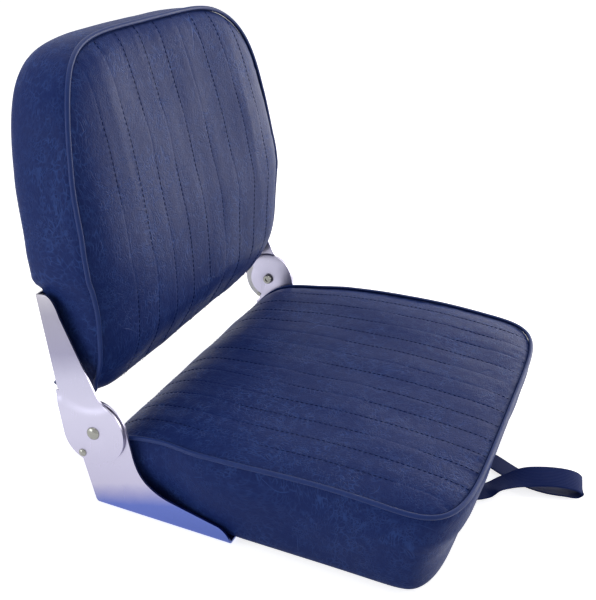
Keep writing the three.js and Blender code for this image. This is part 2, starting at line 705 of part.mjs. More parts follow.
// Lower bracket: folded sheet, cut to its side outline and to the outline of its foot.
function bracketOutline() {
  const shape = new THREE.Shape();
  const top = pivotHeight;
  const stopTop = Math.PI * 1.5 + stopAngle; // angle of the stop rivet, from straight ahead along +Y
  const room = (stopShankRadius + fitGap) / stopRadius;
  const ledge = stopTop - room;
  const release = stopTop + stopTravel + room;
  shape.moveTo(-footRear, 0);
  shape.lineTo(shoulderBack, shoulderHeight);
  shape.lineTo(headRadius * Math.cos(ledge), top + headRadius * Math.sin(ledge));
  shape.lineTo(camRadius * Math.cos(ledge), top + camRadius * Math.sin(ledge));
  shape.absarc(0, top, camRadius, ledge, release, false);
  shape.lineTo(headRadius * Math.cos(release), top + headRadius * Math.sin(release));
  shape.absarc(0, top, headRadius, release, 2 * Math.PI + neckAngle, false);
  shape.lineTo(-neckFront, neckHeight);
  shape.quadraticCurveTo(-throatFront, throatHeight, -sweepStartFront, sweepStartHeight);
  shape.quadraticCurveTo(-sweepFront, sweepHeight, -beamFront, beamHeight);
  shape.lineTo(-noseStart, noseStartHeight);
  shape.quadraticCurveTo(-noseCurve, noseHeight, -noseFront, 0);
  return shape;
}

// Corner section of folded sheet: a plate and a flange with a rounded fold between them.
// The outline's X runs inwards from the plate's outer face and its Y away from the flange.
function foldedSection(plateHigh, flangeWide) {
  const inner = bendRadius - plateThick;
  const shape = new THREE.Shape();
  shape.moveTo(0, plateHigh);
  shape.lineTo(0, bendRadius);
  shape.absarc(bendRadius, bendRadius, bendRadius, Math.PI, 1.5 * Math.PI, false);
  shape.lineTo(flangeWide, 0);
  shape.lineTo(flangeWide, plateThick);
  shape.lineTo(bendRadius, plateThick);
  shape.absarc(bendRadius, bendRadius, inner, 1.5 * Math.PI, Math.PI, true);
  shape.lineTo(plateThick, plateHigh);
  return shape;
}

// Bracket of the left side: the folded sheet, cut to its side outline and to the plan of its foot.
function leftBracket() {
  const topmost = pivotHeight + headRadius + overrun;
  const frontmost = noseFront + overrun;
  const rearmost = headRadius + overrun;
  const axes = [xAxis.clone().negate(), zAxis, yAxis];
  const fold = slab(foldedSection(topmost, footWidth), frontmost + rearmost, axes,
    new THREE.Vector3(bracketOuter, -frontmost, 0), 4);
  const outline = slab(bracketOutline(), 2 * hingeWidth, sideView, new THREE.Vector3(-hingeWidth, 0, 0), 14);
  const footInner = bracketOuter - footWidth;
  const foot = new THREE.Shape();
  foot.moveTo(footInner, -footRear);
  foot.lineTo(footInner, -(noseFront - footCorner));
  foot.quadraticCurveTo(footInner, -noseFront, footInner + footCorner, -noseFront);
  foot.lineTo(hingeWidth, -noseFront);
  foot.lineTo(hingeWidth, -footRear);
  const footZone = slab(foot, plateThick + overrun, planView, new THREE.Vector3(0, 0, -overrun / 2), 4);
  const plateZone = box(bracketOuter - bendRadius, hingeWidth, -frontmost, rearmost, -overrun, topmost);
  const axle = new THREE.Vector3(0, 0, pivotHeight);
  const blank = solid(fold).intersect(solid(outline)).intersect(solid(footZone).add(solid(plateZone)));
  return cut(blank, pin(pivotShankRadius + fitGap, -hingeWidth, hingeWidth, xAxis, axle, 20),
    ...bracketScrews.filter(({ side }) => side === 'left')
      .map(({ origin }) => screwHole(origin, zAxis, plateThick + overrun)));
}

const bracket = leftBracket();
place(seatFrame, 'bracket_left', bracket, aluminium);
place(seatFrame, 'bracket_right', bracket.mirror(xAxis.toArray()), aluminium);

for (const [side, sign] of sides) {
  const outwards = xAxis.clone().multiplyScalar(sign);

  // Arm: a disc outside the bracket, joggled in to the bracket's plane above it.
  const discOuter = hingeWidth / 2;
  const run = new THREE.Shape();
  run.moveTo(0, -discRadius);
  run.lineTo(0, joggleStart);
  run.lineTo(joggle, joggleEnd);
  run.lineTo(joggle, armTop);
  run.lineTo(joggle + plateThick, armTop);
  run.lineTo(joggle + plateThick, joggleEnd - plateThick / 4);
  run.lineTo(plateThick, joggleStart - plateThick / 4);
  run.lineTo(plateThick, -discRadius);
  const armAcross = discRadius * 2 + overrun;
  const armAxes = [outwards.clone().negate(), zAxis, outwards.clone().negate().cross(zAxis)];
  const joggled = slab(run, armAcross, armAxes,
    new THREE.Vector3(sign * discOuter, sign > 0 ? -armAcross / 2 : armAcross / 2, 0));
  const armLine = new THREE.Shape();
  const slope = (armNeckFront - armTopFront) / (armTop - armTopCorner - armNeck);
  armLine.moveTo(armRearEdge, 0);
  armLine.lineTo(armRearEdge, armFlangeBottom);
  armLine.lineTo(armRear, armFlangeBottom);
  armLine.lineTo(armRear, armTop - bendRadius);
  armLine.quadraticCurveTo(armRear, armTop, armRear - bendRadius, armTop);
  armLine.lineTo(-armTopFront + armTopCorner * 0.8, armTop);
  armLine.quadraticCurveTo(-armTopFront, armTop,
    -armTopFront - armTopCorner * slope, armTop - 2 * armTopCorner);
  armLine.lineTo(-armNeckFront, armNeck);
  armLine.lineTo(-armNeckFront - (armNeck - joggleStart) * slope, joggleStart);
  armLine.lineTo(-discRadius * 0.62, discRadius * 0.7);
  armLine.lineTo(0, 0);
  const disc = new THREE.Shape().absarc(0, 0, discRadius, 0, 2 * Math.PI);
  const through = new THREE.Vector3(-hingeWidth, 0, 0);
  const armBlank = solid(slab(armLine, 2 * hingeWidth, sideView, through, 10))
    .add(solid(slab(disc, 2 * hingeWidth, sideView, through, 24)));
  // The folded rear edge, in plan, along the length that has a flange.
  const towardsMiddle = outwards.clone().negate();
  const towardsFront = yAxis.clone().negate();
  const flangeAxes = [towardsMiddle, towardsFront, towardsMiddle.clone().cross(towardsFront)];
  const flangeStart = flangeAxes[2].z > 0 ? armFlangeBottom : armTop;
  const folded = slab(foldedSection(2 * armRear, armFlangeWidth), armTop - armFlangeBottom, flangeAxes,
    new THREE.Vector3(sign * (armInner + plateThick), armRear, flangeStart), 4);
  const flangeZone = box(-hingeWidth, hingeWidth, -2 * armRear, 2 * armRear, armFlangeBottom, armTop);
  let arm = cut(solid(joggled), flangeZone).add(solid(folded)).intersect(armBlank);
  const armAxle = new THREE.Vector3(0, 0, 0);
  const stopCentre = new THREE.Vector3(
    0, stopRadius * Math.sin(stopAngle), -stopRadius * Math.cos(stopAngle)).applyAxisAngle(xAxis, recline);
  arm = cut(arm, pin(pivotShankRadius + fitGap, -hingeWidth, hingeWidth, xAxis, armAxle, 20),
    pin(stopShankRadius + fitGap, -hingeWidth, hingeWidth, xAxis, stopCentre, 14),
    ...armScrews.filter((item) => item.side === side)
      .map(({ origin }) => screwHole(origin, inward, overrun)));
  place(backFrame, `arm_${side}`, arm, aluminium);

  // Washer between disc and bracket; it turns with the arm and holds the stop rivet's shank.
  const washerFace = new THREE.Vector3(sign * (discInner - fitGap), 0, 0);
  const bore = pivotShankRadius + fitGap;
  const washerProfile = [[bore, 0], [hingeWasherRadius, 0],
    [hingeWasherRadius, hingeWasherThick - hingeWasherStep],
    [hingeWasherHubRadius, hingeWasherThick - hingeWasherStep], [hingeWasherHubRadius, hingeWasherThick],
    [bore, hingeWasherThick], [bore, 0]];
  // Its top is cut flat below the arm's crease.
  const washer = cut(solid(turned(washerProfile, outwards.clone().negate(), washerFace, 36)),
    box(-hingeWidth, hingeWidth, -discRadius, discRadius, joggleStart - plateThick / 2, 2 * discRadius),
    pin(stopShankRadius + fitGap, -hingeWidth, hingeWidth, xAxis, stopCentre, 14));
  place(backFrame, `hinge_washer_${side}`, washer, nylon);

  // Pivot rivet: dome outside, hollow upset tail inside.
  const rivetStart = new THREE.Vector3(sign * (discOuter + fitGap), 0, pivotHeight);
  const rivetLong = discOuter + fitGap - bracketInner + fitGap;
  const rivetProfile = [
    ...domed(pivotHeadRadius, pivotHeadHigh).map(([radius, up]) => [radius, -up]).reverse(),
    [pivotShankRadius, 0], [pivotShankRadius, rivetLong], [pivotTailRadius, rivetLong],
    [pivotTailRadius * 0.8, rivetLong + pivotTailHigh], [pivotTailHollow, rivetLong + pivotTailHigh],
    [0, rivetLong + pivotTailHigh / 2]];
  const pivotRivet = turned(rivetProfile, outwards.clone().negate(), rivetStart, 20);
  place(seatFrame, `pivot_rivet_${side}`, pivotRivet, steel);

  const stopStart = stopCentre.clone().setX(sign * (discOuter + fitGap));
  const stopLong = discOuter + fitGap - bracketInner;
  const stopProfile = [
    ...domed(stopHeadRadius, stopHeadHigh).map(([radius, up]) => [radius, -up]).reverse(),
    [stopShankRadius, 0], [stopShankRadius, stopLong], [0, stopLong]];
  const stopRivet = turned(stopProfile, outwards.clone().negate(), stopStart, 18);
  place(backFrame, `stop_rivet_${side}`, stopRivet, steel);
}

// Hold-down strap: a flat band screwed under the front of the seat. Its legs cross before the loop,
// the right one on top. Each point is the middle of the band: across, in front of its screws, up.
const strapLow = seatBase - fitGap - strapThick / 2;
const strapRouteShares = [
  [-0.28, -0.08, 0], [-0.2133, 0.0533, 0], [-0.1333, 0.1733, 0], [-0.1067, 0.2167, 0],
  [-0.0667, 0.2667, 0.008], [0.0333, 0.3733, 0.0433], [0.1133, 0.5, 0.08], [0.1733, 0.6533, 0.0987],
  [0.2133, 0.7733, 0.0947], [0.2467, 0.8467, 0.07], [0.2667, 0.8733, 0.032], [0.2533, 0.8467, 0.004],
  [0.22, 0.76, 0], [0.1933, 0.6333, 0], [0.2133, 0.48, 0], [0.28, 0.34, 0], [0.3467, 0.2267, 0],
  [0.4067, 0.08, 0], [0.4667, -0.08, 0],
];
// Along the band: its turn in plan from straight across, then how far its left edge is raised, in degrees.
const strapTurns = [[0, 27], [0.1, 33], [0.22, 40], [0.32, 27], [0.4, 18], [0.52, 9], [0.59, 8], [0.65, 2],
  [0.72, -14], [0.79, -28], [0.85, -27], [0.92, -22], [1, -22]];
const strapTilts = [[0, 0], [0.186, 0], [0.22, -13], [0.265, -4], [0.35, 19], [0.46, 19], [0.52, 12],
  [0.56, 4], [0.6, 0], [1, 0]];

function strapGeometry() {
  const path = new THREE.CatmullRomCurve3(strapRouteShares.map(([across, front, up]) => new THREE.Vector3(
    across * strapReach, -strapScrewFront - front * strapReach, strapLow + up * strapReach)));
  const build = new Builder();
  const rings = [];
  for (let k = 0; k <= strapSteps; k += 1) {
    const share = k / strapSteps;
    const at = path.getPointAt(share);
    const along = path.getTangentAt(share);
    const turn = THREE.MathUtils.degToRad(smoothTable(strapTurns, share));
    const tilt = THREE.MathUtils.degToRad(smoothTable(strapTilts, share));
    const across = new THREE.Vector3(Math.cos(turn), Math.sin(turn), Math.tan(tilt));
    across.addScaledVector(along, -across.dot(along)).normalize();
    const face = across.clone().cross(along).normalize();
    const corner = (a, b) => at.clone().addScaledVector(across, (a * strapWidth) / 2)
      .addScaledVector(face, (b * strapThick) / 2).toArray();
    rings.push([corner(-1, -1), corner(1, -1), corner(1, 1), corner(-1, 1)]);
  }
  for (let k = 0; k < strapSteps; k += 1) {
    for (let c = 0; c < 4; c += 1) {
      build.quad(rings[k][c], rings[k][(c + 1) % 4], rings[k + 1][(c + 1) % 4], rings[k + 1][c]);
    }
  }
  build.quad(rings[0][3], rings[0][2], rings[0][1], rings[0][0]);
  build.quad(...rings[strapSteps]);
  return build.geometry();
}

const strapHoles = strapScrewOrigins.map((origin) => screwHole(origin, zAxis, overrun));
place(seatFrame, 'strap', cut(solid(strapGeometry()), ...strapHoles), webbing);
strapScrewOrigins.forEach((origin, k) => {
  const end = k === 0 ? 'right' : 'left';
  const washerStart = origin.clone().setZ(origin.z + fitGap);
  const washerProfile = [[screwShankRadius + fitGap, 0], [strapWasherRadius, 0],
    [strapWasherRadius, strapWasherThick],
    [screwShankRadius + fitGap, strapWasherThick], [screwShankRadius + fitGap, 0]];
  place(seatFrame, `strap_washer_${end}`, turned(washerProfile, zAxis, washerStart, 16), steel);
  place(seatFrame, `strap_screw_${end}`, screw(origin, zAxis, strapScrewReach), steel);
});

export default boatSeat;
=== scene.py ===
# %% [markdown]
# A low-back folding boat seat. Two vinyl cushions are carried by riveted aluminium hinges, and a
# strap hangs out under the front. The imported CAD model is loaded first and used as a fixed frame:
# it says where each piece is. Blender then makes the looks, with finer forms and real finishes.

import json
import math

import bmesh
import bpy
import numpy as np
from mathutils import Matrix, Vector, noise
from mathutils.geometry import delaunay_2d_cdt


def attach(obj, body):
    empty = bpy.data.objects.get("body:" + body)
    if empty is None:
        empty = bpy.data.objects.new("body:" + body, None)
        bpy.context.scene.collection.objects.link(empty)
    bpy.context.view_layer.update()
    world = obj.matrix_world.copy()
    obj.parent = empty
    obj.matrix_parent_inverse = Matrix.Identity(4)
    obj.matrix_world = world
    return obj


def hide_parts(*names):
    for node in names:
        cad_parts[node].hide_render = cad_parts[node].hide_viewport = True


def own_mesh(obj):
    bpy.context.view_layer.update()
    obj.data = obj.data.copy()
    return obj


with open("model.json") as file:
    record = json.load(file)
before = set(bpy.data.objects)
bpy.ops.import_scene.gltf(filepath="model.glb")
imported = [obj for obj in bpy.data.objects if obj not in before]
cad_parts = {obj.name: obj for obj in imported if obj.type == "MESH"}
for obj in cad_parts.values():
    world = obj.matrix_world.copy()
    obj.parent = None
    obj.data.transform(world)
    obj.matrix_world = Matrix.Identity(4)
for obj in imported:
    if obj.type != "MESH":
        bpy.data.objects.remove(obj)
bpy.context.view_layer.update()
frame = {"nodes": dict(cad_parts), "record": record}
nodes = frame["nodes"]

# %% [markdown]
# Sizes are in millimetres, as on the maker's drawing, and become metres when a mesh is made. The
# cushions' sizes are the same ones that the CAD solids were made from, so the two lie together.

# %% Sizes of the whole seat
MM = 0.001
PIVOT_HEIGHT = 78.5
RECLINE = math.radians(13.8)
HINGE_WIDTH = 424.4
PLATE = 2.5
SEAT_REAR, SEAT_BASE = 13.5, 2.8
BACK_BASE, BACK_LOW = 40, 30.5
PIPING_RADIUS = 2.25
FLOOR_LEVEL = -2.7


def seat_to_world(points):
    """Across, along and out of the seat cushion become X, Y and Z."""
    across, along, out = points.T
    return np.stack([across, SEAT_REAR - along, SEAT_BASE + out], axis=1)


def back_to_local(points):
    """The same for the back cushion, measured from the hinge axis before the backrest leans."""
    across, along, out = points.T
    return np.stack([across, BACK_BASE - out, BACK_LOW + along], axis=1)


def local_to_world(points):
    """The backrest leans back about the hinge axis."""
    x, y, v = points.T
    cos, sin = math.cos(RECLINE), math.sin(RECLINE)
    return np.stack([x, y * cos + v * sin, PIVOT_HEIGHT - y * sin + v * cos], axis=1)


def back_to_world(points):
    return local_to_world(back_to_local(points))


def add_object(name, data):
    made = bpy.data.objects.new(name, data)
    bpy.context.scene.collection.objects.link(made)
    return made


def finish(piece, material):
    piece.data.materials.clear()
    piece.data.materials.append(material)


# %% [markdown]
# A table of a few places and values, joined smoothly, is how a maker notes a width or a lean that
# changes along an edge. The slopes are limited so that the curve never overshoots its own values.


# %% Smooth tables and curves
def smooth_table(pairs, at):
    places, values = np.array(pairs, float).T
    gaps = np.diff(places)
    rises = np.diff(values) / gaps
    slopes = np.zeros(len(places))
    same = rises[:-1] * rises[1:] > 0
    slopes[1:-1][same] = 2 * rises[:-1][same] * rises[1:][same] / (rises[:-1][same] + rises[1:][same])
    slopes[0], slopes[-1] = rises[0], rises[-1]
    at = np.clip(np.asarray(at, float), places[0], places[-1])
    k = np.clip(np.searchsorted(places, at, side="right") - 1, 0, len(gaps) - 1)
    t = (at - places[k]) / gaps[k]
    h = gaps[k]
    return ((2 * t**3 - 3 * t**2 + 1) * values[k] + (t**3 - 2 * t**2 + t) * h * slopes[k]
            + (3 * t**2 - 2 * t**3) * values[k + 1] + (t**3 - t**2) * h * slopes[k + 1])


def ease(share):
    """0 to 1 with a soft start and a soft end."""
    return share * share * (3 - 2 * share)


def spline(knots, t):
    """A curve through the knots; t counts knots from the first one."""
    last = len(knots) - 1
    t = np.clip(np.asarray(t, float), 0, last)
    k = np.minimum(t.astype(int), last - 1)
    w = (t - k)[:, None]
    p0, p1 = knots[np.maximum(k - 1, 0)], knots[k]
    p2, p3 = knots[k + 1], knots[np.minimum(k + 2, last)]
    v0, v1 = (p2 - p0) / 2, (p3 - p1) / 2
    return (2 * p1 - 2 * p2 + v0 + v1) * w**3 + (3 * p2 - 3 * p1 - 2 * v0 - v1) * w**2 + v0 * w + p1


def unit(vectors):
    return vectors / np.linalg.norm(vectors, axis=1)[:, None]


def run_along(points):
    """How far along its line each point lies."""
    return np.concatenate([[0], np.cumsum(np.linalg.norm(np.diff(points, axis=0), axis=1))])


def even_points(points, count):
    """The same line with a number of evenly spaced points."""
    run = run_along(points)
    at = np.linspace(0, run[-1], count)
    return np.stack([np.interp(at, run, column) for column in points.T], axis=1)


def even_steps(points, step):
    """The same line, with its points a step apart."""
    return even_points(points, max(2, int(round(run_along(points)[-1] / step)) + 1))


def nearest(line, points):
    """How far each point is from the line's nearest point, and which one that is."""
    gaps, places = zip(*[(gap.min(), gap.argmin()) for gap in (np.hypot(*(line - p).T) for p in points)])
    return np.array(gaps), np.array(places)


# %% [markdown]
# Both cushions are sewn alike. A ribbed main panel starts under the rear end, wraps round it and
# runs to the far seam; a plain strip joins its two sides and its far end to the base, and piping
# lies in the seam. So one description serves for both. The panel is laid out flat as a net of
# points, closest together at the seam and along each sewn line, and is then bent to its form.

# %% The form of a cushion
SEAM_STEP = 3.0
PROFILE_POINTS = 1801
CORNER_POINTS = 240
PINCH_SHARE, PINCH_REACH = 0.6, 1.3  # what of a channel's depth is pinched in by the stitches
CHANNEL_FADE = 16  # the channels run out over this length before the far seam
CHANNEL_RISE = 2.2  # round the wrap they deepen this many times faster than the panel rises
LOWEST_CROWN = -0.2
SLOPE_STEP = 0.01


class Cushion:
    def __init__(self, **form):
        self.__dict__.update(form)
        self.knots = np.array(self.profile) * [self.length, self.high]
        fine_t = np.linspace(0, len(self.knots) - 1, PROFILE_POINTS)
        fine = spline(self.knots, fine_t)
        wrap, top = fine_t <= self.wrap_point + 1e-9, fine_t >= self.wrap_point - 1e-9
        self.wrap_t, self.top_t = fine_t[wrap], fine_t[top]
        self.wrap_run, self.top_along = run_along(fine[wrap]), fine[top, 0]
        self.wrap_long = self.wrap_run[-1]
        self.wrap_end = self.knots[self.wrap_point][0]

    def half_width_at(self, along):
        return self.half_width * smooth_table(self.widths, along / self.length)

    def far_seam_at(self, across):
        share = np.minimum(1, np.abs(across) / self.half_width)
        return self.length - self.corner * (1 - (1 - share**self.power_across) ** (1 / self.power_along))

    def sewn_lines(self):
        half = (self.channels - 1) / 2
        return [(k - half) * self.pitch for k in range(self.channels)]

    def groove_at(self, place):
        half = (self.channels - 1) / 2
        line = np.clip(np.round(place / self.pitch), -half, half) * self.pitch
        away = np.abs(place - line)
        arch = np.clip(1 - away / (self.pitch / 2), 0, 1)
        return self.groove * (PINCH_SHARE * np.exp(-away / PINCH_REACH) + (1 - PINCH_SHARE) * arch**2)

    def crown_at(self, across, along, wide):
        side = 1 - np.exp(-np.maximum(0, wide - np.abs(across)) / self.roll)
        far = 1 - np.exp(-np.maximum(0, self.far_seam_at(across) - along) / self.roll)
        opened = np.clip((along - self.wrap_end) / (self.dish_reach * self.length), 0, 1)
        dished = self.dish * opened * np.maximum(0, 1 - (across / (self.dish_share * self.half_width)) ** 2)
        return (self.rise - dished * side * far) * side * far

    def profile_at(self, run):
        """The profile's place and direction; run is 0 where the wrap ends, below 0 down to the base."""
        t = np.where(run < 0, np.interp(run + self.wrap_long, self.wrap_run, self.wrap_t),
                     np.interp(self.wrap_end + run, self.top_along, self.top_t))
        ahead = spline(self.knots, t + SLOPE_STEP) - spline(self.knots, t - SLOPE_STEP)
        return spline(self.knots, t), unit(ahead)

    def panel(self, place, run, lift=0.0):
        """Points of the main panel, from its places on the flat net."""
        at, slope = self.profile_at(run)
        share = np.clip(1 + run / self.wrap_long, 0, 1)
        along = np.where(run < 0, at[:, 0], self.wrap_end + run)
        wide = self.half_width_at(along)
        across = place * wide / self.half_width
        crown = self.crown_at(across, np.maximum(along, self.wrap_end), wide) * share**self.wrap_power
        fade = np.clip((self.far_seam_at(place) - self.wrap_end - run) / CHANNEL_FADE, 0, 1)
        fade = ease(fade) * np.clip(share * CHANNEL_RISE, 0, 1)
        crown = np.maximum(crown - self.groove_at(place) * fade, LOWEST_CROWN) + lift
        return np.stack([across, along - slope[:, 1] * crown, at[:, 1] + slope[:, 0] * crown], axis=1)

    def seam_net(self):
        """The seam on the flat net: up the one side, across the far end and down the other."""
        turn = np.linspace(0, math.pi / 2, CORNER_POINTS)
        corner_x = self.half_width * np.cos(turn) ** (2 / self.power_across)
        corner_y = self.length - self.corner * (1 - np.sin(turn) ** (2 / self.power_along)) - self.wrap_end
        side = np.array([[self.half_width, -self.wrap_long], [self.half_width, corner_y[0]]])
        half = np.concatenate([side, np.stack([corner_x, corner_y], axis=1)[1:]])
        half = even_steps(half, SEAM_STEP)
        return np.concatenate([half * [-1, 1], half[::-1][1:]])


# %% [markdown]
# The seat is 355 mm deep and 91 mm high, a little lower at its front seam and rounded down at its
# rear end. The back is thickest low down and thins towards the top. Their outlines were measured on
# the photograph through the solved camera. A profile is given in shares of the length and height,
# and a strip by the share of the way down, its lean at the sides and its bulge at the far end.

# %% Both cushions' forms
seat_form = Cushion(
    length=354.5, high=90.9, half_width=211.8, corner=69.5, power_across=6, power_along=4,
    profile=[(0.014, 0), (0, 0.14), (0.006, 0.34), (0.033, 0.52), (0.08, 0.71), (0.15, 0.825), (0.3, 0.908),
             (0.52, 0.978), (0.72, 1), (1, 0.948)],
    wrap_point=5, wrap_power=0.8,
    widths=[(0, 0.86), (0.05, 0.905), (0.1, 0.93), (0.16, 0.938), (0.22, 0.946), (0.34, 0.988), (0.48, 1),
            (1, 1)],
    strip=[(0, 0, 0), (0.1, 0.15, 0.85), (0.3, 0.06, 0.45), (0.5, -0.25, -1.5), (0.7, -0.65, -2.8),
           (0.86, -0.95, -3.1), (0.95, -1.15, -3.3), (0.988, -1.4, -3.8), (1, -1.8, -4.7)],
    taper=10, far_bulge=4, roll=14, rise=5.5, dish=2, dish_share=0.75, dish_reach=0.3,
    pitch=30, channels=13, groove=0.34,
)
back_form = Cushion(
    length=312.3, high=70.4, half_width=210.8, corner=150, power_across=5.3, power_along=2.6,
    profile=[(0.045, 0), (0.008, 0.1), (0, 0.3), (0.01, 0.48), (0.045, 0.59), (0.14, 0.81), (0.33, 0.97),
             (0.48, 1), (0.7, 0.95), (1, 0.778)],
    wrap_point=5, wrap_power=0.7,
    widths=[(0, 0.883), (0.05, 0.92), (0.19, 0.95), (0.25, 0.955), (0.34, 0.982), (0.38, 1), (0.43, 1),
            (0.5, 0.988), (0.63, 0.974), (0.7, 0.962), (1, 0.935)],
    strip=[(0, 0, 0), (0.1, 0.1, 0.5), (0.3, 0.02, 0.9), (0.5, -0.12, 1), (0.7, -0.35, 0.8),
           (0.87, -0.7, 0.1), (0.96, -1.1, -0.8), (1, -1.9, -2.4)],
    taper=10, far_bulge=5.5, roll=15, rise=14, dish=7, dish_share=0.62, dish_reach=0.4,
    pitch=40, channels=9, groove=0.4,
)
print("length round the seat's seam", round(len(seat_form.seam_net()) * SEAM_STEP / 1000, 2), "m")

# %% [markdown]
# Stretched vinyl is never quite even. It puckers where the stitches draw it to the piping, and it
# has long soft hollows elsewhere. Both are small moves of the points out of the surface, worked
# out from smooth noise with fixed places, so that each run gives the same cushion.


# %% Puckers and soft hollows
LONG_WAVE, SHORT_WAVE, SHORT_SHARE = 9.0, 4.2, 0.6
SEWN_DOWN = 2.0  # this close to the seam, the thread holds the vinyl down


def soft_hollows(points, size, depth, place):
    """Waves of a size and depth; place picks another part of the endless noise."""
    return np.array([noise.noise(Vector(p)) for p in points / size + [0, 0, place]]) * depth


def puckers(along_seam, from_seam, depth, reach, place):
    """Two sizes of short waves along the seam, which die out away from it."""
    wave = np.array([noise.noise(Vector((a / LONG_WAVE, place, 0.0)))
                     + SHORT_SHARE * noise.noise(Vector((a / SHORT_WAVE, place, 5.0))) for a in along_seam])
    return wave * depth * np.exp(-from_seam / reach) * np.clip(from_seam / SEWN_DOWN, 0, 1)


# %% [markdown]
# Every shape here ends as lists of points and faces. A few helpers fill a flat outline with
# triangles, join rings of points with faces, and make a smooth object that keeps its sharp edges.


# %% Points, faces and objects
def triangulate(points, edges):
    """Triangles that keep the given edges, with the old number of each point."""
    made = delaunay_2d_cdt([Vector(p) for p in points], edges, [], 1, 1e-5)
    return made[0], made[2], made[3]


def loop_edges(start, count):
    return [(start + k, start + (k + 1) % count) for k in range(count)]


def add_face(faces, corners):
    """Adds a face, without the corners that fall together."""
    corners = tuple(dict.fromkeys(corners))
    if len(corners) > 2:
        faces.append(corners)


def join_rings(faces, rings):
    """Adds the faces between neighbouring rings; a ring of a single point closes to a tip."""
    for low, up in zip(rings, rings[1:]):
        count = max(len(low), len(up))
        for k in range(count):
            n = (k + 1) % count
            add_face(faces, [low[k % len(low)], low[n % len(low)], up[n % len(up)], up[k % len(up)]])


def mesh_piece(name, points, faces, sharp_from=48):
    mesh = bpy.data.meshes.new(name)
    mesh.from_pydata([tuple(p) for p in points * MM], [], [tuple(int(i) for i in f) for f in faces])
    build = bmesh.new()
    build.from_mesh(mesh)
    bmesh.ops.recalc_face_normals(build, faces=build.faces)
    if build.calc_volume(signed=True) < 0:
        bmesh.ops.reverse_faces(build, faces=build.faces)
    build.to_mesh(mesh)
    build.free()
    mesh.polygons.foreach_set("use_smooth", [True] * len(mesh.polygons))
    mesh.set_sharp_from_angle(angle=math.radians(sharp_from))
    mesh.update()
    return add_object(name, mesh)


# %% [markdown]
# The flat net is filled with points and joined by a Delaunay triangulation, which keeps the seam as
# its edge. Rings of points follow the seam, because the panel bends most there. Inside, the columns
# follow the sewn lines.

# %% The net of a main panel
BASE_STEP, WRAP_STEP, ROW_STEP, COLUMN_STEP = 4.0, 3.2, 4.6, 3.2  # between the net's points
BESIDE_STITCHES = (-3.4, -2.0, -1.0, 0.0, 1.0, 2.0, 3.4)
BETWEEN_FROM, BETWEEN_TO = 5.4, 4.5  # the plain columns keep this far from the sewn lines
SIDE_MARGIN, FAR_MARGIN, LEAST_GAP = 11.5, 9.5, 0.6
FIRST_ROW, RING_END = 3.0, 1.6  # above the base
RINGS = (1.1, 2.6, 4.6, 7.4)
INSIDE_RINGS = 9.6  # the other points keep this far from the seam
TURN_OVER = 30  # over this length past the wrap, the strip turns to follow the seam


def net_points(form):
    seam = form.seam_net()
    columns = set()
    for line in form.sewn_lines():
        columns.update(line + away for away in BESIDE_STITCHES)
        columns.update(line + away for away in np.arange(BETWEEN_FROM, form.pitch - BETWEEN_TO, COLUMN_STEP))
    columns.update(-c for c in list(columns))
    columns = np.array(sorted(c for c in columns if abs(c) < form.half_width - SIDE_MARGIN))
    columns = columns[np.concatenate([[True], np.diff(columns) > LEAST_GAP])]
    rows = np.concatenate([np.arange(-form.wrap_long + FIRST_ROW, 0, WRAP_STEP),
                           np.arange(0, form.length, ROW_STEP)])
    tangent = unit(np.gradient(seam, axis=0))
    inward = np.stack([tangent[:, 1], -tangent[:, 0]], axis=1)
    rings = []
    for away in RINGS:
        ring = seam + inward * away
        rings.append(ring[ring[:, 1] > -form.wrap_long + RING_END])
    x, y = np.meshgrid(columns, rows)
    grid = np.stack([x.ravel(), y.ravel()], axis=1)
    room = form.far_seam_at(grid[:, 0]) - form.wrap_end - grid[:, 1]
    grid = grid[room > FAR_MARGIN]
    grid = grid[nearest(seam, grid)[0] > INSIDE_RINGS]
    base = np.arange(-form.half_width + BASE_STEP, form.half_width - BASE_STEP / 2, BASE_STEP)
    base = np.stack([base[::-1], np.full(len(base), -form.wrap_long)], axis=1)
    return seam, base, np.concatenate(rings + [grid])


def strip_directions(form, seam, seam_points):
    """Which way the strip faces, seen from above the base, and each seam point's foot on the base."""
    wrapped = seam[:, 1] < 0
    side = np.stack([np.sign(seam[:, 0]), np.zeros(len(seam))], axis=1)
    step = unit(np.gradient(seam_points[:, :2], axis=0))
    normal = np.stack([-step[:, 1], step[:, 0]], axis=1)
    normal[wrapped] = side[wrapped]
    blend = np.clip(seam[:, 1] / TURN_OVER, 0, 1)[:, None]
    normal = unit(normal * blend + side * (1 - blend))
    start, turn = seam_points[0][1], form.wrap_end
    share = np.clip(1 + seam[:, 1] / form.wrap_long, 0, 1)
    foot = np.where(wrapped, start + (turn - start) * share, seam_points[:, 1])
    return normal, foot


# %% [markdown]
# The panel is bent to its form and gets its hollows and puckers. The strip goes down from the seam
# in levels, closest together at its two seams, and bulges between them.

# %% The whole cushion
STRIP_LEVELS = 26
EXTRA_LEVELS = [0.015, 0.97, 0.985, 0.994]
HOLLOWS, STRIP_HOLLOWS = (62.0, 1.6, 3.0), (48.0, 1.5, 21.0)  # size, depth and place in the noise
LONG_CREASES, ALONG_CREASES = (17.0, 0.35, 9.0), [1, 0.35, 1]
PANEL_PUCKERS, STRIP_PUCKERS = (0.9, 9.0, 2.0), (0.8, 10.0, 7.0)  # depth, reach and place
HELD_AT_SEAM = 6  # the panel moves freely only this far from the seam
HELD_AT_ENDS = 6  # and the strip only beyond the first and last sixth of its height


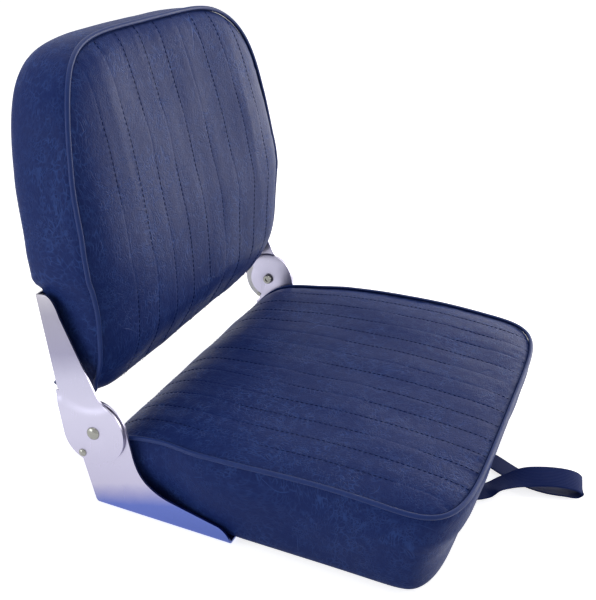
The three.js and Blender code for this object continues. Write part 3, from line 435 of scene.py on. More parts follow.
def cushion_parts(form):
    """Points and faces, up to the ring where the strip meets the base, and what the piping needs."""
    seam, base, inside_points = net_points(form)
    flat = np.concatenate([seam, base, inside_points])
    rim = len(seam) + len(base)
    _, faces, origin = triangulate(flat, loop_edges(0, rim))
    first = [group[0] for group in origin]
    flat = flat[first]
    where = {old: new for new, old in enumerate(first)}
    points = form.panel(flat[:, 0], flat[:, 1])
    to_seam, near = nearest(seam, flat)
    out = form.panel(flat[:, 0], flat[:, 1], 1.0) - points
    free = np.clip(to_seam / HELD_AT_SEAM, 0, 1)
    move = soft_hollows(points, *HOLLOWS) * free
    move += soft_hollows(points * ALONG_CREASES, *LONG_CREASES) * free
    move += puckers(near * SEAM_STEP, to_seam, *PANEL_PUCKERS)
    points = points + out * move[:, None]

    seam_points = np.array([points[where[k]] for k in range(len(seam))])
    normal, foot = strip_directions(form, seam, seam_points)
    down = np.sort(np.concatenate([np.linspace(0, 1, STRIP_LEVELS), EXTRA_LEVELS]))
    lean_side = smooth_table([(d, s) for d, s, f in form.strip], down)
    lean_far = smooth_table([(d, f) for d, s, f in form.strip], down)
    facing = (normal[:, 1] ** 2)[:, None]
    lean = lean_side * form.taper * (1 - facing) + lean_far * form.far_bulge * facing
    reach = lean * np.maximum(0, seam_points[:, 2:3] / form.high)
    x = seam_points[:, 0:1] + normal[:, 0:1] * reach
    y = seam_points[:, 1:2] + (foot[:, None] - seam_points[:, 1:2]) * down + normal[:, 1:2] * reach
    z = seam_points[:, 2:3] * (1 - down)
    strip = np.stack([x, y, z], axis=2)
    seam_run = np.arange(len(seam)) * SEAM_STEP
    away = seam_points[:, 2:3] * down
    wave = np.array([puckers(seam_run, away[:, m], *STRIP_PUCKERS) for m in range(len(down))]).T
    soft = np.array([soft_hollows(strip[:, m], *STRIP_HOLLOWS) for m in range(len(down))]).T
    edge = np.clip(np.minimum(down, 1 - down) * HELD_AT_ENDS, 0, 1)
    strip[:, :, 0] += normal[:, 0:1] * (wave + soft) * edge
    strip[:, :, 1] += normal[:, 1:2] * (wave + soft) * edge

    last = len(seam) - 1
    index = np.zeros((len(seam), len(down)), int)
    index[:, 0] = [where[k] for k in range(len(seam))]
    index[1:last, 1:] = len(points) + np.arange((last - 1) * (len(down) - 1)).reshape(last - 1, -1)
    index[0], index[last] = index[0, 0], index[last, 0]
    points = np.concatenate([points, strip[1:last, 1:].reshape(-1, 3)])
    faces = [tuple(f) for f in faces]
    for k in range(last):
        for m in range(len(down) - 1):
            add_face(faces, [index[k, m], index[k, m + 1], index[k + 1, m + 1], index[k + 1, m]])
    ring = list(index[:, -1]) + [where[len(seam) + k] for k in range(len(base))]
    return points, faces, ring, (seam, seam_points, normal)


def middle_and_half(flat):
    low, high = flat.min(axis=0), flat.max(axis=0)
    return (low + high) / 2, (high - low) / 2


def close_base(points, faces, ring, steps):
    """Rings of points go inwards from the base's edge; each step is a margin and a height."""
    rim = points[ring]
    middle, half = middle_and_half(rim[:, :2])
    previous = list(ring)
    for margin, out in steps:
        flat = middle + (rim[:, :2] - middle) * ((half - margin) / half)
        start = len(points)
        points = np.concatenate([points, np.column_stack([flat, np.full(len(flat), float(out))])])
        new = list(range(start, start + len(flat)))
        for k in range(len(new)):
            n = (k + 1) % len(new)
            faces.append((previous[k], new[k], new[n], previous[n]))
        previous = new
    centre = len(points)
    points = np.concatenate([points, [[middle[0], middle[1], float(steps[-1][1])]]])
    for k in range(len(previous)):
        faces.append((previous[k], centre, previous[(k + 1) % len(previous)]))
    return points, faces


# %% [markdown]
# Each cushion's hem lies flat under its board and ends in an opening, where the board shows. The
# back's opening is closed later by its rear panel.

# %% Seat cushion
SEAT_HEM = [(0.4, 0), (6, 0), (16, 0), (29, 0), (30, 0.6), (30.3, 3), (30.3, 8)]
points, faces, ring, seat_sewn = cushion_parts(seat_form)
points, faces = close_base(points, faces, ring, SEAT_HEM)
seat_cushion = mesh_piece("seat_cushion", seat_to_world(points), faces)
print("seat cushion faces", len(seat_cushion.data.polygons))

# %% [markdown]
# The backrest's padding is also pressed in by the flanges of the two arms.

# %% Backrest cushion
BACK_HEM = [(0.8, 0), (3, 0), (6, 0), (9, 0), (12, 0), (15, 0), (17.3, 0.1), (18, 0.8), (18.2, 3), (18.2, 17)]
FLANGE_INSIDE, FLANGE_TOP, FLANGE_FRONT = 167, 137, 28.2
PRESS_OVER, PRESS_FREE, PRESS_SOFT, PRESS_FROM = 9, 16, 1.2, -3


def pressed_flat(local):
    """The arms' flanges press the padding flat behind the lower corners."""
    x, y, v = local.T
    aside = np.clip((FLANGE_INSIDE - np.abs(x)) / PRESS_OVER, 0, 1)
    above = np.clip((v - FLANGE_TOP) / PRESS_OVER, 0, 1)
    limit = FLANGE_FRONT + PRESS_FREE * ease(np.maximum(aside, above))
    over = y - limit
    soft = 0.5 * (over - np.sqrt(over * over + PRESS_SOFT))
    return np.stack([x, np.where(over > PRESS_FROM, limit + soft, y), v], axis=1)


points, faces, ring, back_sewn = cushion_parts(back_form)
back_rim = points[ring][:, :2].copy()
points, faces = close_base(points, faces, ring, BACK_HEM)
back_cushion = mesh_piece("back_cushion", local_to_world(pressed_flat(back_to_local(points))), faces)
print("back cushion faces", len(back_cushion.data.polygons))

# %% [markdown]
# What follows a path is best made with Geometry Nodes: change the path or the size, and the piece
# follows. One tree turns a line of points into a round cord, another lays stitches along it. The
# finished piece is then kept as a plain mesh, and the modifier is taken away.


# %% Trees of nodes that follow a path
MOST_TURN = 0.06  # of a stitch, in radians


def node(tree, kind, **settings):
    made = tree.nodes.new(kind)
    for key, value in settings.items():
        setattr(made, key, value)
    return made


def give(tree, socket, value):
    """Links another node's output to the socket, or sets the socket to a plain value."""
    if isinstance(value, bpy.types.NodeSocket):
        tree.links.new(value, socket)
    else:
        socket.default_value = value


def feed(tree, target, **values):
    """Sets or links a node's inputs by name; a name's underscores are its spaces."""
    for key, value in values.items():
        give(tree, target.inputs[key.replace("_", " ")], value)
    return target


def wire(tree, *links):
    """Each link is a node and its output's name, then a node and its input's name."""
    for giver, output, taker, entry in links:
        tree.links.new(giver.outputs[output], taker.inputs[entry])


def new_tree(name, inputs):
    tree = bpy.data.node_groups.new(name, "GeometryNodeTree")
    tree.is_modifier = True
    for label, kind in [("Path", "Geometry"), *inputs, ("Material", "Material")]:
        tree.interface.new_socket(label, in_out="INPUT", socket_type="NodeSocket" + kind)
    tree.interface.new_socket("Piece", in_out="OUTPUT", socket_type="NodeSocketGeometry")
    return tree, node(tree, "NodeGroupInput")


def finish_tree(tree, given, last, output):
    """Makes real geometry of what is ready, gives it its material and hands it out."""
    realize = node(tree, "GeometryNodeRealizeInstances")
    dress = node(tree, "GeometryNodeSetMaterial")
    out = node(tree, "NodeGroupOutput")
    wire(tree, (last, output, realize, "Geometry"), (realize, "Geometry", dress, "Geometry"),
         (given, "Material", dress, "Material"), (dress, "Geometry", out, "Piece"))
    return tree


def cord_tree():
    tree, given = new_tree("cord along a path", [("Radius", "Float"), ("Step", "Float")])
    curve = node(tree, "GeometryNodeMeshToCurve")
    resample = node(tree, "GeometryNodeResampleCurve", mode="LENGTH")
    circle = feed(tree, node(tree, "GeometryNodeCurvePrimitiveCircle"), Resolution=14)
    sweep = feed(tree, node(tree, "GeometryNodeCurveToMesh"), Fill_Caps=True)
    smooth = node(tree, "GeometryNodeSetShadeSmooth")
    wire(tree, (given, "Path", curve, "Mesh"), (curve, "Curve", resample, "Curve"),
         (given, "Step", resample, "Length"), (given, "Radius", circle, "Radius"),
         (resample, "Curve", sweep, "Curve"), (circle, "Curve", sweep, "Profile Curve"),
         (sweep, "Mesh", smooth, "Geometry"))
    return finish_tree(tree, given, smooth, "Geometry")


def stitch_tree():
    """Short rounded stitches, laid along a path at an even pitch; each is turned a little at random."""
    tree, given = new_tree("stitches along a path", [
        ("Pitch", "Float"), ("Length", "Float"), ("Thread", "Float"), ("Seed", "Int")])
    curve = node(tree, "GeometryNodeMeshToCurve")
    points = node(tree, "GeometryNodeCurveToPoints", mode="LENGTH")
    bead = feed(tree, node(tree, "GeometryNodeMeshUVSphere"), Segments=7, Rings=6, Radius=0.5)
    size = node(tree, "ShaderNodeCombineXYZ")
    shape = node(tree, "GeometryNodeTransform")
    lay = node(tree, "GeometryNodeInstanceOnPoints")
    turn = feed(tree, node(tree, "FunctionNodeRandomValue", data_type="FLOAT_VECTOR"),
                Min=(-MOST_TURN,) * 3, Max=(MOST_TURN,) * 3)
    rotate = node(tree, "GeometryNodeRotateInstances")
    smooth = node(tree, "GeometryNodeSetShadeSmooth")
    wire(tree, (given, "Path", curve, "Mesh"), (curve, "Curve", points, "Curve"),
         (given, "Pitch", points, "Length"), (given, "Thread", size, "X"), (given, "Thread", size, "Y"),
         (given, "Length", size, "Z"), (bead, "Mesh", smooth, "Geometry"),
         (smooth, "Geometry", shape, "Geometry"), (size, "Vector", shape, "Scale"),
         (points, "Points", lay, "Points"), (points, "Rotation", lay, "Rotation"),
         (shape, "Geometry", lay, "Instance"), (given, "Seed", turn, "Seed"),
         (lay, "Instances", rotate, "Instances"), (turn, "Value", rotate, "Rotation"))
    return finish_tree(tree, given, rotate, "Instances")


def along_path(name, lines, tree, settings):
    """Runs a tree on one or more lines of points, and keeps the result as a plain mesh."""
    points, edges = [], []
    for line in lines:
        start = len(points)
        points += [tuple(p) for p in line * MM]
        edges += [(start + k, start + k + 1) for k in range(len(line) - 1)]
    mesh = bpy.data.meshes.new(name + " path")
    mesh.from_pydata(points, edges, [])
    carrier = add_object(name + " path", mesh)
    modifier = carrier.modifiers.new("tree", "NODES")
    modifier.node_group = tree
    keys = {item.name: item.identifier for item in tree.interface.items_tree if item.in_out == "INPUT"}
    for label, value in settings.items():
        modifier[keys[label]] = value
    carrier.update_tag()
    graph = bpy.context.evaluated_depsgraph_get()
    made = bpy.data.meshes.new_from_object(carrier.evaluated_get(graph), depsgraph=graph)
    made.name = name
    carrier.modifiers.remove(modifier)
    bpy.data.objects.remove(carrier)
    bpy.data.meshes.remove(mesh)
    return add_object(name, made)


# %% [markdown]
# A few short helpers make the shader trees readable: each adds one node, sets or links its inputs
# and gives back its output.


# %% Short names for shader nodes
def sums(tree, operation, *values, kind="ShaderNodeMath"):
    made = node(tree, kind, operation=operation)
    for socket, value in zip(made.inputs, values):
        give(tree, socket, value)
    return made.outputs[0]


def plus(tree, a, b):
    return sums(tree, "ADD", a, b)


def times(tree, a, b):
    return sums(tree, "MULTIPLY", a, b)


def larger(tree, a, b):
    return sums(tree, "MAXIMUM", a, b)


def from_node(tree, kind, output, settings=None, **inputs):
    """The output of a new node, with its settings made and its inputs set or linked."""
    return feed(tree, node(tree, kind, **(settings or {})), **inputs).outputs[output]


def spread(tree, value, low, high, to_low=0.0, to_high=1.0):
    """Moves what lies between low and high to another range, with soft ends."""
    return from_node(tree, "ShaderNodeMapRange", "Result", {"interpolation_type": "SMOOTHSTEP"},
                     Value=value, From_Min=low, From_Max=high, To_Min=to_low, To_Max=to_high)


def object_place(tree):
    """Object coordinates, in metres from the seat's own origin."""
    return node(tree, "ShaderNodeTexCoord").outputs["Object"]


def cloud(tree, place, scale, detail=3.0, rough=0.5, distortion=0.0):
    """Smooth noise; scale is about how many clouds fit in a metre."""
    return from_node(tree, "ShaderNodeTexNoise", 0, Vector=place, Scale=scale, Detail=detail,
                     Roughness=rough, Distortion=distortion)


def crease_lines(tree, place, scale, thin, detail=2.0, distortion=0.4):
    """Long thin curving lines, where a smooth noise passes its middle value."""
    level = cloud(tree, place, scale, detail, 0.5, distortion)
    off = sums(tree, "ABSOLUTE", sums(tree, "SUBTRACT", level, 0.5))
    return spread(tree, off, 0.0, thin, 1.0, 0.0)


def warped(tree, place, scale, far, detail=1.0):
    """Shifts the coordinates by a smooth cloud, so that what is drawn with them flows and curves."""
    bend = from_node(tree, "ShaderNodeTexNoise", 1, Vector=place, Scale=scale, Detail=detail)
    centred = sums(tree, "SUBTRACT", bend, (0.5, 0.5, 0.5), kind="ShaderNodeVectorMath")
    shift = from_node(tree, "ShaderNodeVectorMath", 0, {"operation": "SCALE"}, Vector=centred, Scale=far)
    return sums(tree, "ADD", place, shift, kind="ShaderNodeVectorMath")


def stretched(tree, place, scale, shift=(0.0, 0.0, 0.0)):
    return from_node(tree, "ShaderNodeMapping", "Vector", Vector=place, Scale=scale, Location=shift)


def web_lines(tree, place, scale, thin):
    """The thin lines between cells, as in the grain of leather."""
    edge = from_node(tree, "ShaderNodeTexVoronoi", "Distance", {"feature": "DISTANCE_TO_EDGE"},
                     Vector=place, Scale=scale)
    return spread(tree, edge, 0.0, thin, 1.0, 0.0)


def mix_colours(tree, share, first, second):
    """The Mix node's sockets 6 and 7 are its two colours, and its third output is the mixed one."""
    made = node(tree, "ShaderNodeMix", data_type="RGBA")
    give(tree, made.inputs[0], share)
    for socket, value in ((made.inputs[6], first), (made.inputs[7], second)):
        give(tree, socket, value if isinstance(value, bpy.types.NodeSocket) else (*value, 1.0))
    return made.outputs[2]


def bump(tree, height, distance, strength=1.0):
    return from_node(tree, "ShaderNodeBump", "Normal", Height=height, Distance=distance, Strength=strength)


# %% [markdown]
# One group of shader nodes holds the vinyl's embossed leather grain, so that the cushions, the
# piping and the rear panel share it, and another holds the dust and rubbing of use. Groups give
# out only heights and masks; each material keeps its own surface shader.


# %% Node groups for the finishes
def new_group(name, amount, outputs):
    group = bpy.data.node_groups.new(name, "ShaderNodeTree")
    group.interface.new_socket(amount, in_out="INPUT", socket_type="NodeSocketFloat").default_value = 0.5
    for label in outputs:
        group.interface.new_socket(label, in_out="OUTPUT", socket_type="NodeSocketFloat")
    return group, node(group, "NodeGroupInput").outputs[amount], node(group, "NodeGroupOutput")


def grain_group():
    """Webs of upright and of lying creases, broken and uneven in strength, and a few long ones."""
    group, creases, out = new_group("leather grain", "Creases", ["Height", "Crease", "Mottle"])
    place = object_place(group)
    flowing = warped(group, warped(group, place, 11.0, 0.075), 75.0, 0.009, 2.0)
    upright = web_lines(group, stretched(group, flowing, (1.0, 1.0, 0.42)), 225.0, 0.14)
    level = web_lines(group, stretched(group, flowing, (0.5, 1.0, 1.0), (3.1, 5.7, 1.9)), 320.0, 0.14)
    first = spread(group, cloud(group, place, 15.0, 3.0, 0.6), 0.42, 0.66, 0.34, 0.95)
    elsewhere = stretched(group, place, (1.0, 1.0, 1.0), (1.7, 0.4, 2.2))
    second = spread(group, cloud(group, elsewhere, 19.0, 3.0, 0.6), 0.44, 0.68, 0.28, 0.95)
    broken = spread(group, cloud(group, place, 120.0, 2.0, 0.5), 0.36, 0.58)
    lying = stretched(group, place, (1.0, 1.0, 0.8), (5.1, 2.7, 0.9))
    long = crease_lines(group, lying, 13.0, 0.0032, 0.0, 0.25)
    rare = spread(group, cloud(group, place, 26.0, 1.0), 0.52, 0.6)
    webs = larger(group, times(group, upright, first), times(group, level, second))
    webs = times(group, webs, plus(group, times(group, broken, 0.7), 0.3))
    crease = times(group, larger(group, webs, times(group, long, rare)), creases)
    fine = from_node(group, "ShaderNodeTexVoronoi", "Distance", {"feature": "SMOOTH_F1"},
                     Vector=place, Scale=620.0, Smoothness=0.4)
    mottle = cloud(group, place, 150.0, 5.0, 0.68, 0.5)
    high = plus(group, times(group, fine, -0.4), times(group, mottle, 0.5))
    high = sums(group, "SUBTRACT", high, times(group, crease, 0.9))
    feed(group, out, Height=high, Crease=crease, Mottle=mottle)
    return group


def dust_group():
    """Faint dust and rubbed places, in soft patches."""
    group, amount, out = new_group("dust and rubbing", "Amount", ["Dust"])
    place = object_place(group)
    wide = spread(group, cloud(group, place, 7.0, 4.0, 0.6), 0.4, 0.75)
    small = spread(group, cloud(group, place, 240.0, 2.0, 0.5), 0.45, 0.7)
    mixed = times(group, wide, plus(group, times(group, small, 0.6), 0.4))
    feed(group, out, Dust=times(group, mixed, amount))
    return group


leather_grain = grain_group()
dust_and_rubbing = dust_group()

# %% [markdown]
# The finishes. Vinyl reflects little, so that its colour stays deep. The aluminium's colour has
# painted reflection: it goes from grey to blue by its height, in bands that stand for the
# surroundings it reflects. The strap has crosswise woven ribs.


# %% The vinyl, metal and other finishes
def new_material(name):
    material = bpy.data.materials.new(name)
    material.use_nodes = True
    tree = material.node_tree
    return material, tree, tree.nodes["Principled BSDF"]


def use_group(tree, group, **values):
    made = tree.nodes.new("ShaderNodeGroup")
    made.node_tree = group
    return feed(tree, made, **values).outputs


def dusted(tree, colour, amount, share, dust_colour):
    """Lays dust over a colour; also gives the dust itself."""
    dust = use_group(tree, dust_and_rubbing, Amount=amount)["Dust"]
    return mix_colours(tree, times(tree, dust, share), colour, dust_colour), dust


def vinyl_material(name, base, crease_colour, creases=0.6, rough=0.44, distance=0.00035, gloss=0.09):
    material, tree, surface = new_material(name)
    grain = use_group(tree, leather_grain, Creases=creases)
    shade = mix_colours(tree, grain["Crease"], base, crease_colour)
    worn, dust = dusted(tree, shade, 0.25, 0.12, (0.3, 0.32, 0.4))
    roughness = plus(tree, times(tree, grain["Mottle"], 0.22), rough - 0.11)
    roughness = plus(tree, roughness, times(tree, dust, 0.1))
    feed(tree, surface, Base_Color=worn, Roughness=roughness, Normal=bump(tree, grain["Height"], distance),
         IOR=1.5, Specular_IOR_Level=gloss)
    return material


# Painted reflection on the aluminium: bands of colour by height, laid into the material's colour.
REFLECTION_BANDS_LOW, REFLECTION_BANDS_RANGE = -0.05, 0.35
REFLECTION_BANDS_LEAN, REFLECTION_BANDS_UNEVEN = 0.3, 0.008


def painted_reflection_by_height(tree, place, uneven, painted_reflection_bands):
    """Painted reflection: a colour for each height in metres; the bands lean back a little and their edges
    are uneven.
    """
    apart = feed(tree, node(tree, "ShaderNodeSeparateXYZ"), Vector=place).outputs
    level = plus(tree, apart["Z"], times(tree, apart["Y"], REFLECTION_BANDS_LEAN))
    level = plus(tree, level, times(tree, sums(tree, "SUBTRACT", uneven, 0.5), REFLECTION_BANDS_UNEVEN))
    bands = node(tree, "ShaderNodeValToRGB")
    elements = bands.color_ramp.elements
    while len(elements) < len(painted_reflection_bands):
        elements.new(0.5)
    # The places come first, because an element that is moved past another changes places with it.
    for element, (height, _) in zip(elements, painted_reflection_bands):
        element.position = (height - REFLECTION_BANDS_LOW) / REFLECTION_BANDS_RANGE
    for element, (_, shade) in zip(elements, painted_reflection_bands):
        element.color = (*shade, 1.0)
    feed(tree, bands, Fac=sums(tree, "DIVIDE", plus(tree, level, -REFLECTION_BANDS_LOW), REFLECTION_BANDS_RANGE))
    return bands.outputs["Color"]


def metal_material(name, colour, rough, brush=0.0, spots=0.0, painted_reflection_bands=()):
    """Brushed or polished metal. Bands of painted reflection can give its colour at several heights."""
    material, tree, surface = new_material(name)
    place = object_place(tree)
    streaks = cloud(tree, stretched(tree, place, (220.0, 220.0, 14.0)), 4.0, 4.0, 0.6)
    blotches = cloud(tree, place, 38.0, 4.0, 0.6)
    if painted_reflection_bands:
        colour = painted_reflection_by_height(tree, place, blotches, painted_reflection_bands)
    tint = dusted(tree, colour, spots, 0.25, (0.42, 0.42, 0.5))[0]
    roughness = plus(tree, times(tree, streaks, brush), rough - brush / 2)
    roughness = plus(tree, roughness, times(tree, blotches, 0.08))
    feed(tree, surface, Base_Color=tint, Metallic=1.0, Roughness=roughness,
         Normal=bump(tree, streaks, 0.00003 if brush else 0.00001, 0.5))
    return material


def plain_material(name, colour, rough, scale=90.0, vary=0.15, distance=0.0002, gloss=0.5):
    material, tree, surface = new_material(name)
    spots = cloud(tree, object_place(tree), scale, 4.0, 0.6)
    shade = mix_colours(tree, spots, tuple(c * (1 - vary) for c in colour),
                        tuple(min(1, c * (1 + vary)) for c in colour))
    feed(tree, surface, Base_Color=shade, Roughness=rough, Normal=bump(tree, spots, distance),
         Specular_IOR_Level=gloss)
    return material


RIB_PITCH, YARN_PITCH = 0.0011, 0.0019


def webbing_material(name, colour, gap_colour):
    """Flat woven band: crosswise ribs about a millimetre apart, and finer yarns along it."""
    material, tree, surface = new_material(name)
    flat = feed(tree, node(tree, "ShaderNodeSeparateXYZ"),
                Vector=node(tree, "ShaderNodeTexCoord").outputs["UV"]).outputs
    uneven = cloud(tree, object_place(tree), 260.0, 2.0)
    ribs = times(tree, flat["Y"], 2 * math.pi / RIB_PITCH)
    ribs = sums(tree, "SINE", plus(tree, ribs, times(tree, uneven, 2.0)))
    yarns = sums(tree, "SINE", times(tree, flat["X"], 2 * math.pi / YARN_PITCH))
    weave = spread(tree, plus(tree, times(tree, ribs, 0.6), times(tree, yarns, 0.4)), -1.0, 1.0)
    shade = mix_colours(tree, weave, gap_colour, colour)
    shade = dusted(tree, shade, 0.3, 0.06, (0.2, 0.22, 0.3))[0]
    feed(tree, surface, Base_Color=shade, Roughness=0.62, Normal=bump(tree, weave, 0.0003),
         Specular_IOR_Level=0.1)
    return material


def plywood_material():
    material, tree, surface = new_material("sealed plywood")
    lines = cloud(tree, stretched(tree, object_place(tree), (3.0, 34.0, 34.0)), 6.0, 6.0, 0.65, 0.8)
    shade = mix_colours(tree, lines, (0.42, 0.27, 0.14), (0.66, 0.48, 0.29))
    feed(tree, surface, Base_Color=shade, Roughness=0.55, Normal=bump(tree, lines, 0.00025))
    return material


navy_vinyl = vinyl_material("navy vinyl", (0.0115, 0.025, 0.126), (0.035, 0.076, 0.27), creases=0.8,
                            rough=0.46, gloss=0.06)
rear_vinyl = vinyl_material("navy rear vinyl", (0.010, 0.018, 0.08), (0.016, 0.05, 0.2), creases=0.4)
piping_vinyl = vinyl_material("piping vinyl", (0.015, 0.035, 0.16), (0.02, 0.06, 0.24), creases=0.3,
                              rough=0.42, distance=0.00012, gloss=0.16)
# The same dark thread colour also serves the cord of painted seam shade.
thread = plain_material("sewing thread", (0.006, 0.013, 0.06), 0.8, 900.0, 0.2, 0.00005, gloss=0.04)
strap_webbing = webbing_material("strap webbing", (0.011, 0.028, 0.155), (0.006, 0.016, 0.09))
# Painted reflection: the aluminium is bluer low down and darker high on the arm, as the surroundings it
# reflects are; the lavender grey of the middle band is the metal's own tone.
ALUMINIUM_PAINTED_REFLECTIONS = [(-0.05, (0.09, 0.13, 0.38)), (-0.002, (0.11, 0.15, 0.42)), (0.01, (0.27, 0.27, 0.46)),
                   (0.022, (0.43, 0.41, 0.54)), (0.1, (0.49, 0.475, 0.6)), (0.135, (0.43, 0.42, 0.54)),
                   (0.16, (0.27, 0.26, 0.36)), (0.2, (0.28, 0.27, 0.34)), (0.225, (0.4, 0.385, 0.43))]
aluminium = metal_material("bright aluminium", (0.78, 0.76, 0.9), 0.26, brush=0.12, spots=0.5,
                           painted_reflection_bands=ALUMINIUM_PAINTED_REFLECTIONS)
rivet_metal = metal_material("rivet", (0.27, 0.27, 0.25), 0.13, spots=0.4)
screw_metal = metal_material("plated screw", (0.7, 0.69, 0.68), 0.28, spots=0.5)
nylon = plain_material("white nylon", (0.74, 0.73, 0.74), 0.5)
plywood = plywood_material()
foam = plain_material("seat foam", (0.75, 0.69, 0.46), 0.95, 600.0, 0.12, 0.0008)

# %% [markdown]
# Piping. The cord lies in the seam, a little outside it and above it, and its two ends run under
# the base with the panel. A thin dark cord in the gap between the piping and the panel is painted
# shade, where the seam's valley lies in shade.

# %% Piping and stitches
CORD_STEP = 2.4
THREAD = 0.62
STITCH_PITCH, STITCH_LONG, STITCH_LIFT = 5.0, 3.6, 0.25
STITCH_START, STITCH_STOP, STITCH_PATH_STEP = 2, 3, 2.0
# The second place is for a dark cord of painted shade in the valley between piping and panel.
PIPING_PLACE, SHADE_CORD_PLACE = (0.86, 0.6), (-0.1, 0.95)  # out and up, in shares of the piping's radius
SEWN = {"seat": (seat_form, seat_sewn, seat_to_world), "back": (back_form, back_sewn, back_to_world)}
cord_nodes = cord_tree()
stitch_nodes = stitch_tree()


def seam_line(part, out, up):
    """A line beside a cushion's seam."""
    form, (seam, seam_points, normal), to_world = SEWN[part]
    slope = form.profile_at(seam[:, 1])[1]
    rise = np.stack([np.zeros(len(slope)), -slope[:, 1], slope[:, 0]], axis=1)
    aside = np.stack([normal[:, 0], normal[:, 1], np.zeros(len(normal))], axis=1)
    return to_world(seam_points + aside * (out * PIPING_RADIUS) + rise * (up * PIPING_RADIUS))


def stitch_lines(part):
    """Each row of stitches, from under the wrap to just short of the far seam."""
    form, _, to_world = SEWN[part]
    lines = []
    for place in form.sewn_lines():
        far = float(form.far_seam_at(place)) - form.wrap_end - STITCH_STOP
        run = np.arange(-form.wrap_long + STITCH_START, far, STITCH_PATH_STEP)
        lines.append(to_world(form.panel(np.full(len(run), place), run, STITCH_LIFT)))
    return lines


def cord(name, line, radius, material):
    return along_path(name, [line], cord_nodes,
                      {"Radius": radius * MM, "Step": CORD_STEP * MM, "Material": material})


def stitches(name, lines, seed):
    return along_path(name, lines, stitch_nodes, {
        "Pitch": STITCH_PITCH * MM, "Length": STITCH_LONG * MM, "Thread": THREAD * MM, "Seed": seed,
        "Material": thread})


seat_piping, back_piping = (cord(f"{part}_piping_cord", seam_line(part, *PIPING_PLACE), PIPING_RADIUS,
                                 piping_vinyl) for part in SEWN)
seat_stitches, back_stitches = (stitches(f"{part}_stitches", stitch_lines(part), seed)
                                for part, seed in (("seat", 3), ("back", 4)))
# Painted shade: a thin dark cord in the gap beside the piping, where the seam's valley lies in shade.
seat_shade_cord, back_shade_cord = (cord(f"{part}_painted_seam_shade", seam_line(part, *SHADE_CORD_PLACE), THREAD, thread)
                        for part in SEWN)
for piece in (seat_piping, back_piping, seat_stitches, back_stitches, seat_shade_cord, back_shade_cord):
    print(piece.name, len(piece.data.polygons), "faces")

# %% [markdown]
# The back's rear panel is a thin board wrapped in vinyl. Its edge is round and it is very slightly
# crowned. Its outline is the opening in the cushion's cover, which follows the cushion's rear edge.
# Each ring of points is that outline drawn a little smaller, and the rings rise to the middle.

# %% Rear panel
OPENING_MARGIN = 18.7
PANEL_SIDE, PANEL_SIDE_TOP = 166.8, 137.5  # between the flanges, and as high as they are
TUCK_FROM, TUCK_OVER = 138, 10
PANEL_EDGE = [(-7.0, 27.2), (-7.0, 35.8), (0.0, 36.4), (0.0, 38.8), (0.35, 39.8), (1.1, 40.4), (2.5, 40.7)]
PANEL_CROWN, PANEL_RINGS = 1.2, 13
PANEL_FACE, PANEL_HOLLOWS = 39.5, (60.0, 0.35, 3.3)


def rear_outline():
    middle, half = middle_and_half(back_rim)
    ring = middle + (back_rim - middle) * (half - OPENING_MARGIN) / half + [0, BACK_LOW]
    ring = even_steps(np.concatenate([ring, ring[:1]]), SEAM_STEP)[:-1]
    low = ring[:, 1] < PANEL_SIDE_TOP
    ring[:, 0] = np.where(low, np.clip(ring[:, 0], -PANEL_SIDE, PANEL_SIDE), ring[:, 0])
    turn = np.roll(ring, -1, axis=0)
    if np.sum(ring[:, 0] * turn[:, 1] - ring[:, 1] * turn[:, 0]) < 0:
        ring = ring[::-1]
    return ring, middle + [0, BACK_LOW]


def rear_panel():
    """Each level is an inset and a place behind the axis; above the flanges the edge is tucked in."""
    ring, middle = rear_outline()
    reach = np.abs(ring - middle).max(axis=0).min()
    edge_in, edge_out = PANEL_EDGE[-1]
    levels = PANEL_EDGE + [(edge_in + (reach - edge_in) * w, edge_out + PANEL_CROWN * (1 - (1 - w) ** 2))
                           for w in np.linspace(0, 1, PANEL_RINGS)[1:-1]]
    points, faces = [], []
    count = len(ring)
    away = np.roll(ring, -1, axis=0) - np.roll(ring, 1, axis=0)
    inwards = unit(np.stack([-away[:, 1], away[:, 0]], axis=1))
    above = np.clip((ring[:, 1] - TUCK_FROM) / TUCK_OVER, 0, 1)[:, None]
    for inset, rear in levels:
        if inset > edge_in:  # the face: the outline is drawn smaller towards its middle
            shrunk = middle + (ring - middle) * (1 - inset / reach)
        else:
            shrunk = ring + inwards * (inset * above if inset < 0 else inset)
        points += [(x, rear, up) for x, up in shrunk]
    rings = [range(k * count, (k + 1) * count) for k in range(len(levels))]
    join_rings(faces, rings + [[len(points)]])
    points.append((middle[0], edge_out + PANEL_CROWN, middle[1]))
    faces.append(tuple(reversed(range(count))))
    points = np.array(points)
    points[:, 1] += soft_hollows(points, *PANEL_HOLLOWS) * (points[:, 1] > PANEL_FACE)
    return mesh_piece("rear_panel_cover", local_to_world(points), faces)


rear_cover = rear_panel()
print("rear panel faces", len(rear_cover.data.polygons))

# %% [markdown]
# The strap is one flat band. It leaves its screws under the front of the board, crosses itself and
# stands up in a loop. Its path gives its middle; two short tables give its turn and its tilt, in
# degrees, by the share of its length. Its section is a table too: places across, and thicknesses.

